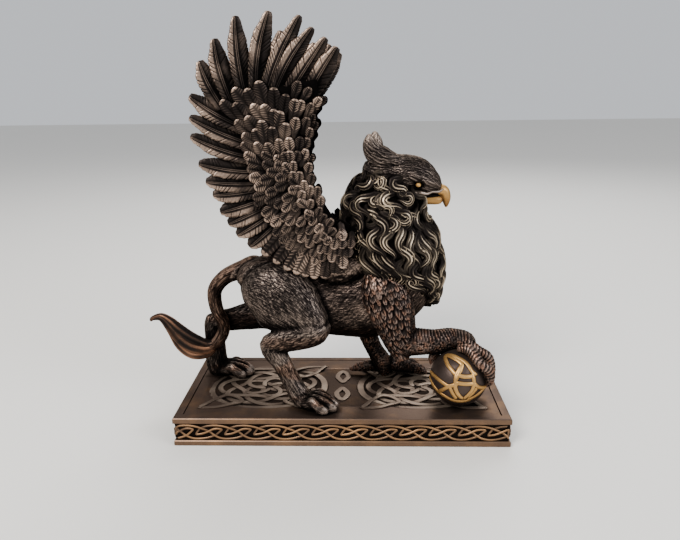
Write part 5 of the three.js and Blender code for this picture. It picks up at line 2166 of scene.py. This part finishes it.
def pale_floor(colour):
    bm = bmesh.new()
    bmesh.ops.create_grid(bm, x_segments=2, y_segments=2, size=4)
    floor = linked("floor", mesh_of(bm, "floor"))
    paint = bpy.data.materials.new("pale floor")
    paint.use_nodes = True
    shader = paint.node_tree.nodes["Principled BSDF"]
    shader.inputs["Base Color"].default_value = (*colour, 1)
    shader.inputs["Roughness"].default_value = FLOOR_ROUGHNESS
    floor.data.materials.append(paint)
    floor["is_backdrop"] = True


class GRIFFIN_OT_stage(bpy.types.Operator):
    """Makes the pale floor, the soft lights and the camera"""

    bl_idname = "griffin.stage"
    bl_label = "Stage"

    def execute(self, context):
        s, scene = settings("stage"), context.scene
        camera_view(scene)
        pale_floor(s.floor)
        world = bpy.data.worlds.new("room")
        scene.world = world
        world.use_nodes = True
        background = world.node_tree.nodes["Background"]
        background.inputs["Color"].default_value = ROOM_COLOUR
        background.inputs["Strength"].default_value = s.sky
        for name, spot, size, power, colour in LIGHTS:
            soft_light(name, spot, size, getattr(s, power), colour)
        return {"FINISHED"}


class GRIFFIN_PT_panel(bpy.types.Panel):
    """Lists the pieces of the statue"""

    bl_idname = "GRIFFIN_PT_panel"
    bl_label = "Griffin statue"
    bl_space_type = "VIEW_3D"
    bl_region_type = "UI"
    bl_category = "Griffin"

    def draw(self, context):
        for operator in OPERATORS:
            self.layout.operator(operator.bl_idname)
        for name in SETTINGS:
            box = self.layout.box()
            box.label(text=name.capitalize())
            group = settings(name)
            for prop in group.bl_rna.properties:
                if prop.identifier not in ("rna_type", "name"):
                    box.prop(group, prop.identifier)


OPERATORS = (
    GRIFFIN_OT_stage,
    GRIFFIN_OT_plinth,
    GRIFFIN_OT_orb,
    GRIFFIN_OT_body,
    GRIFFIN_OT_forelegs,
    GRIFFIN_OT_head,
    GRIFFIN_OT_mane,
    GRIFFIN_OT_wings,
    GRIFFIN_OT_patina,
)
SETTINGS = {
    "plinth": PlinthSettings,
    "orb": OrbSettings,
    "body": GriffinSettings,
    "mane": ManeSettings,
    "wing": WingSettings,
    "stage": StageSettings,
}


def register():
    for cls in (*SETTINGS.values(), *OPERATORS, GRIFFIN_PT_panel):
        bpy.utils.register_class(cls)
    for name, cls in SETTINGS.items():
        setattr(bpy.types.Scene, "griffin_" + name, PointerProperty(type=cls))


def unregister():
    for name in SETTINGS:
        delattr(bpy.types.Scene, "griffin_" + name)
    for cls in reversed((*SETTINGS.values(), *OPERATORS, GRIFFIN_PT_panel)):
        bpy.utils.unregister_class(cls)


def main():
    register()
    bpy.ops.griffin.stage()
    bpy.ops.griffin.plinth()
    bpy.ops.griffin.orb()
    bpy.ops.griffin.body()
    bpy.ops.griffin.forelegs()
    bpy.ops.griffin.head()
    bpy.ops.griffin.mane()
    bpy.ops.griffin.wings()
    bpy.ops.griffin.patina()


if __name__ == "__main__":
    main()
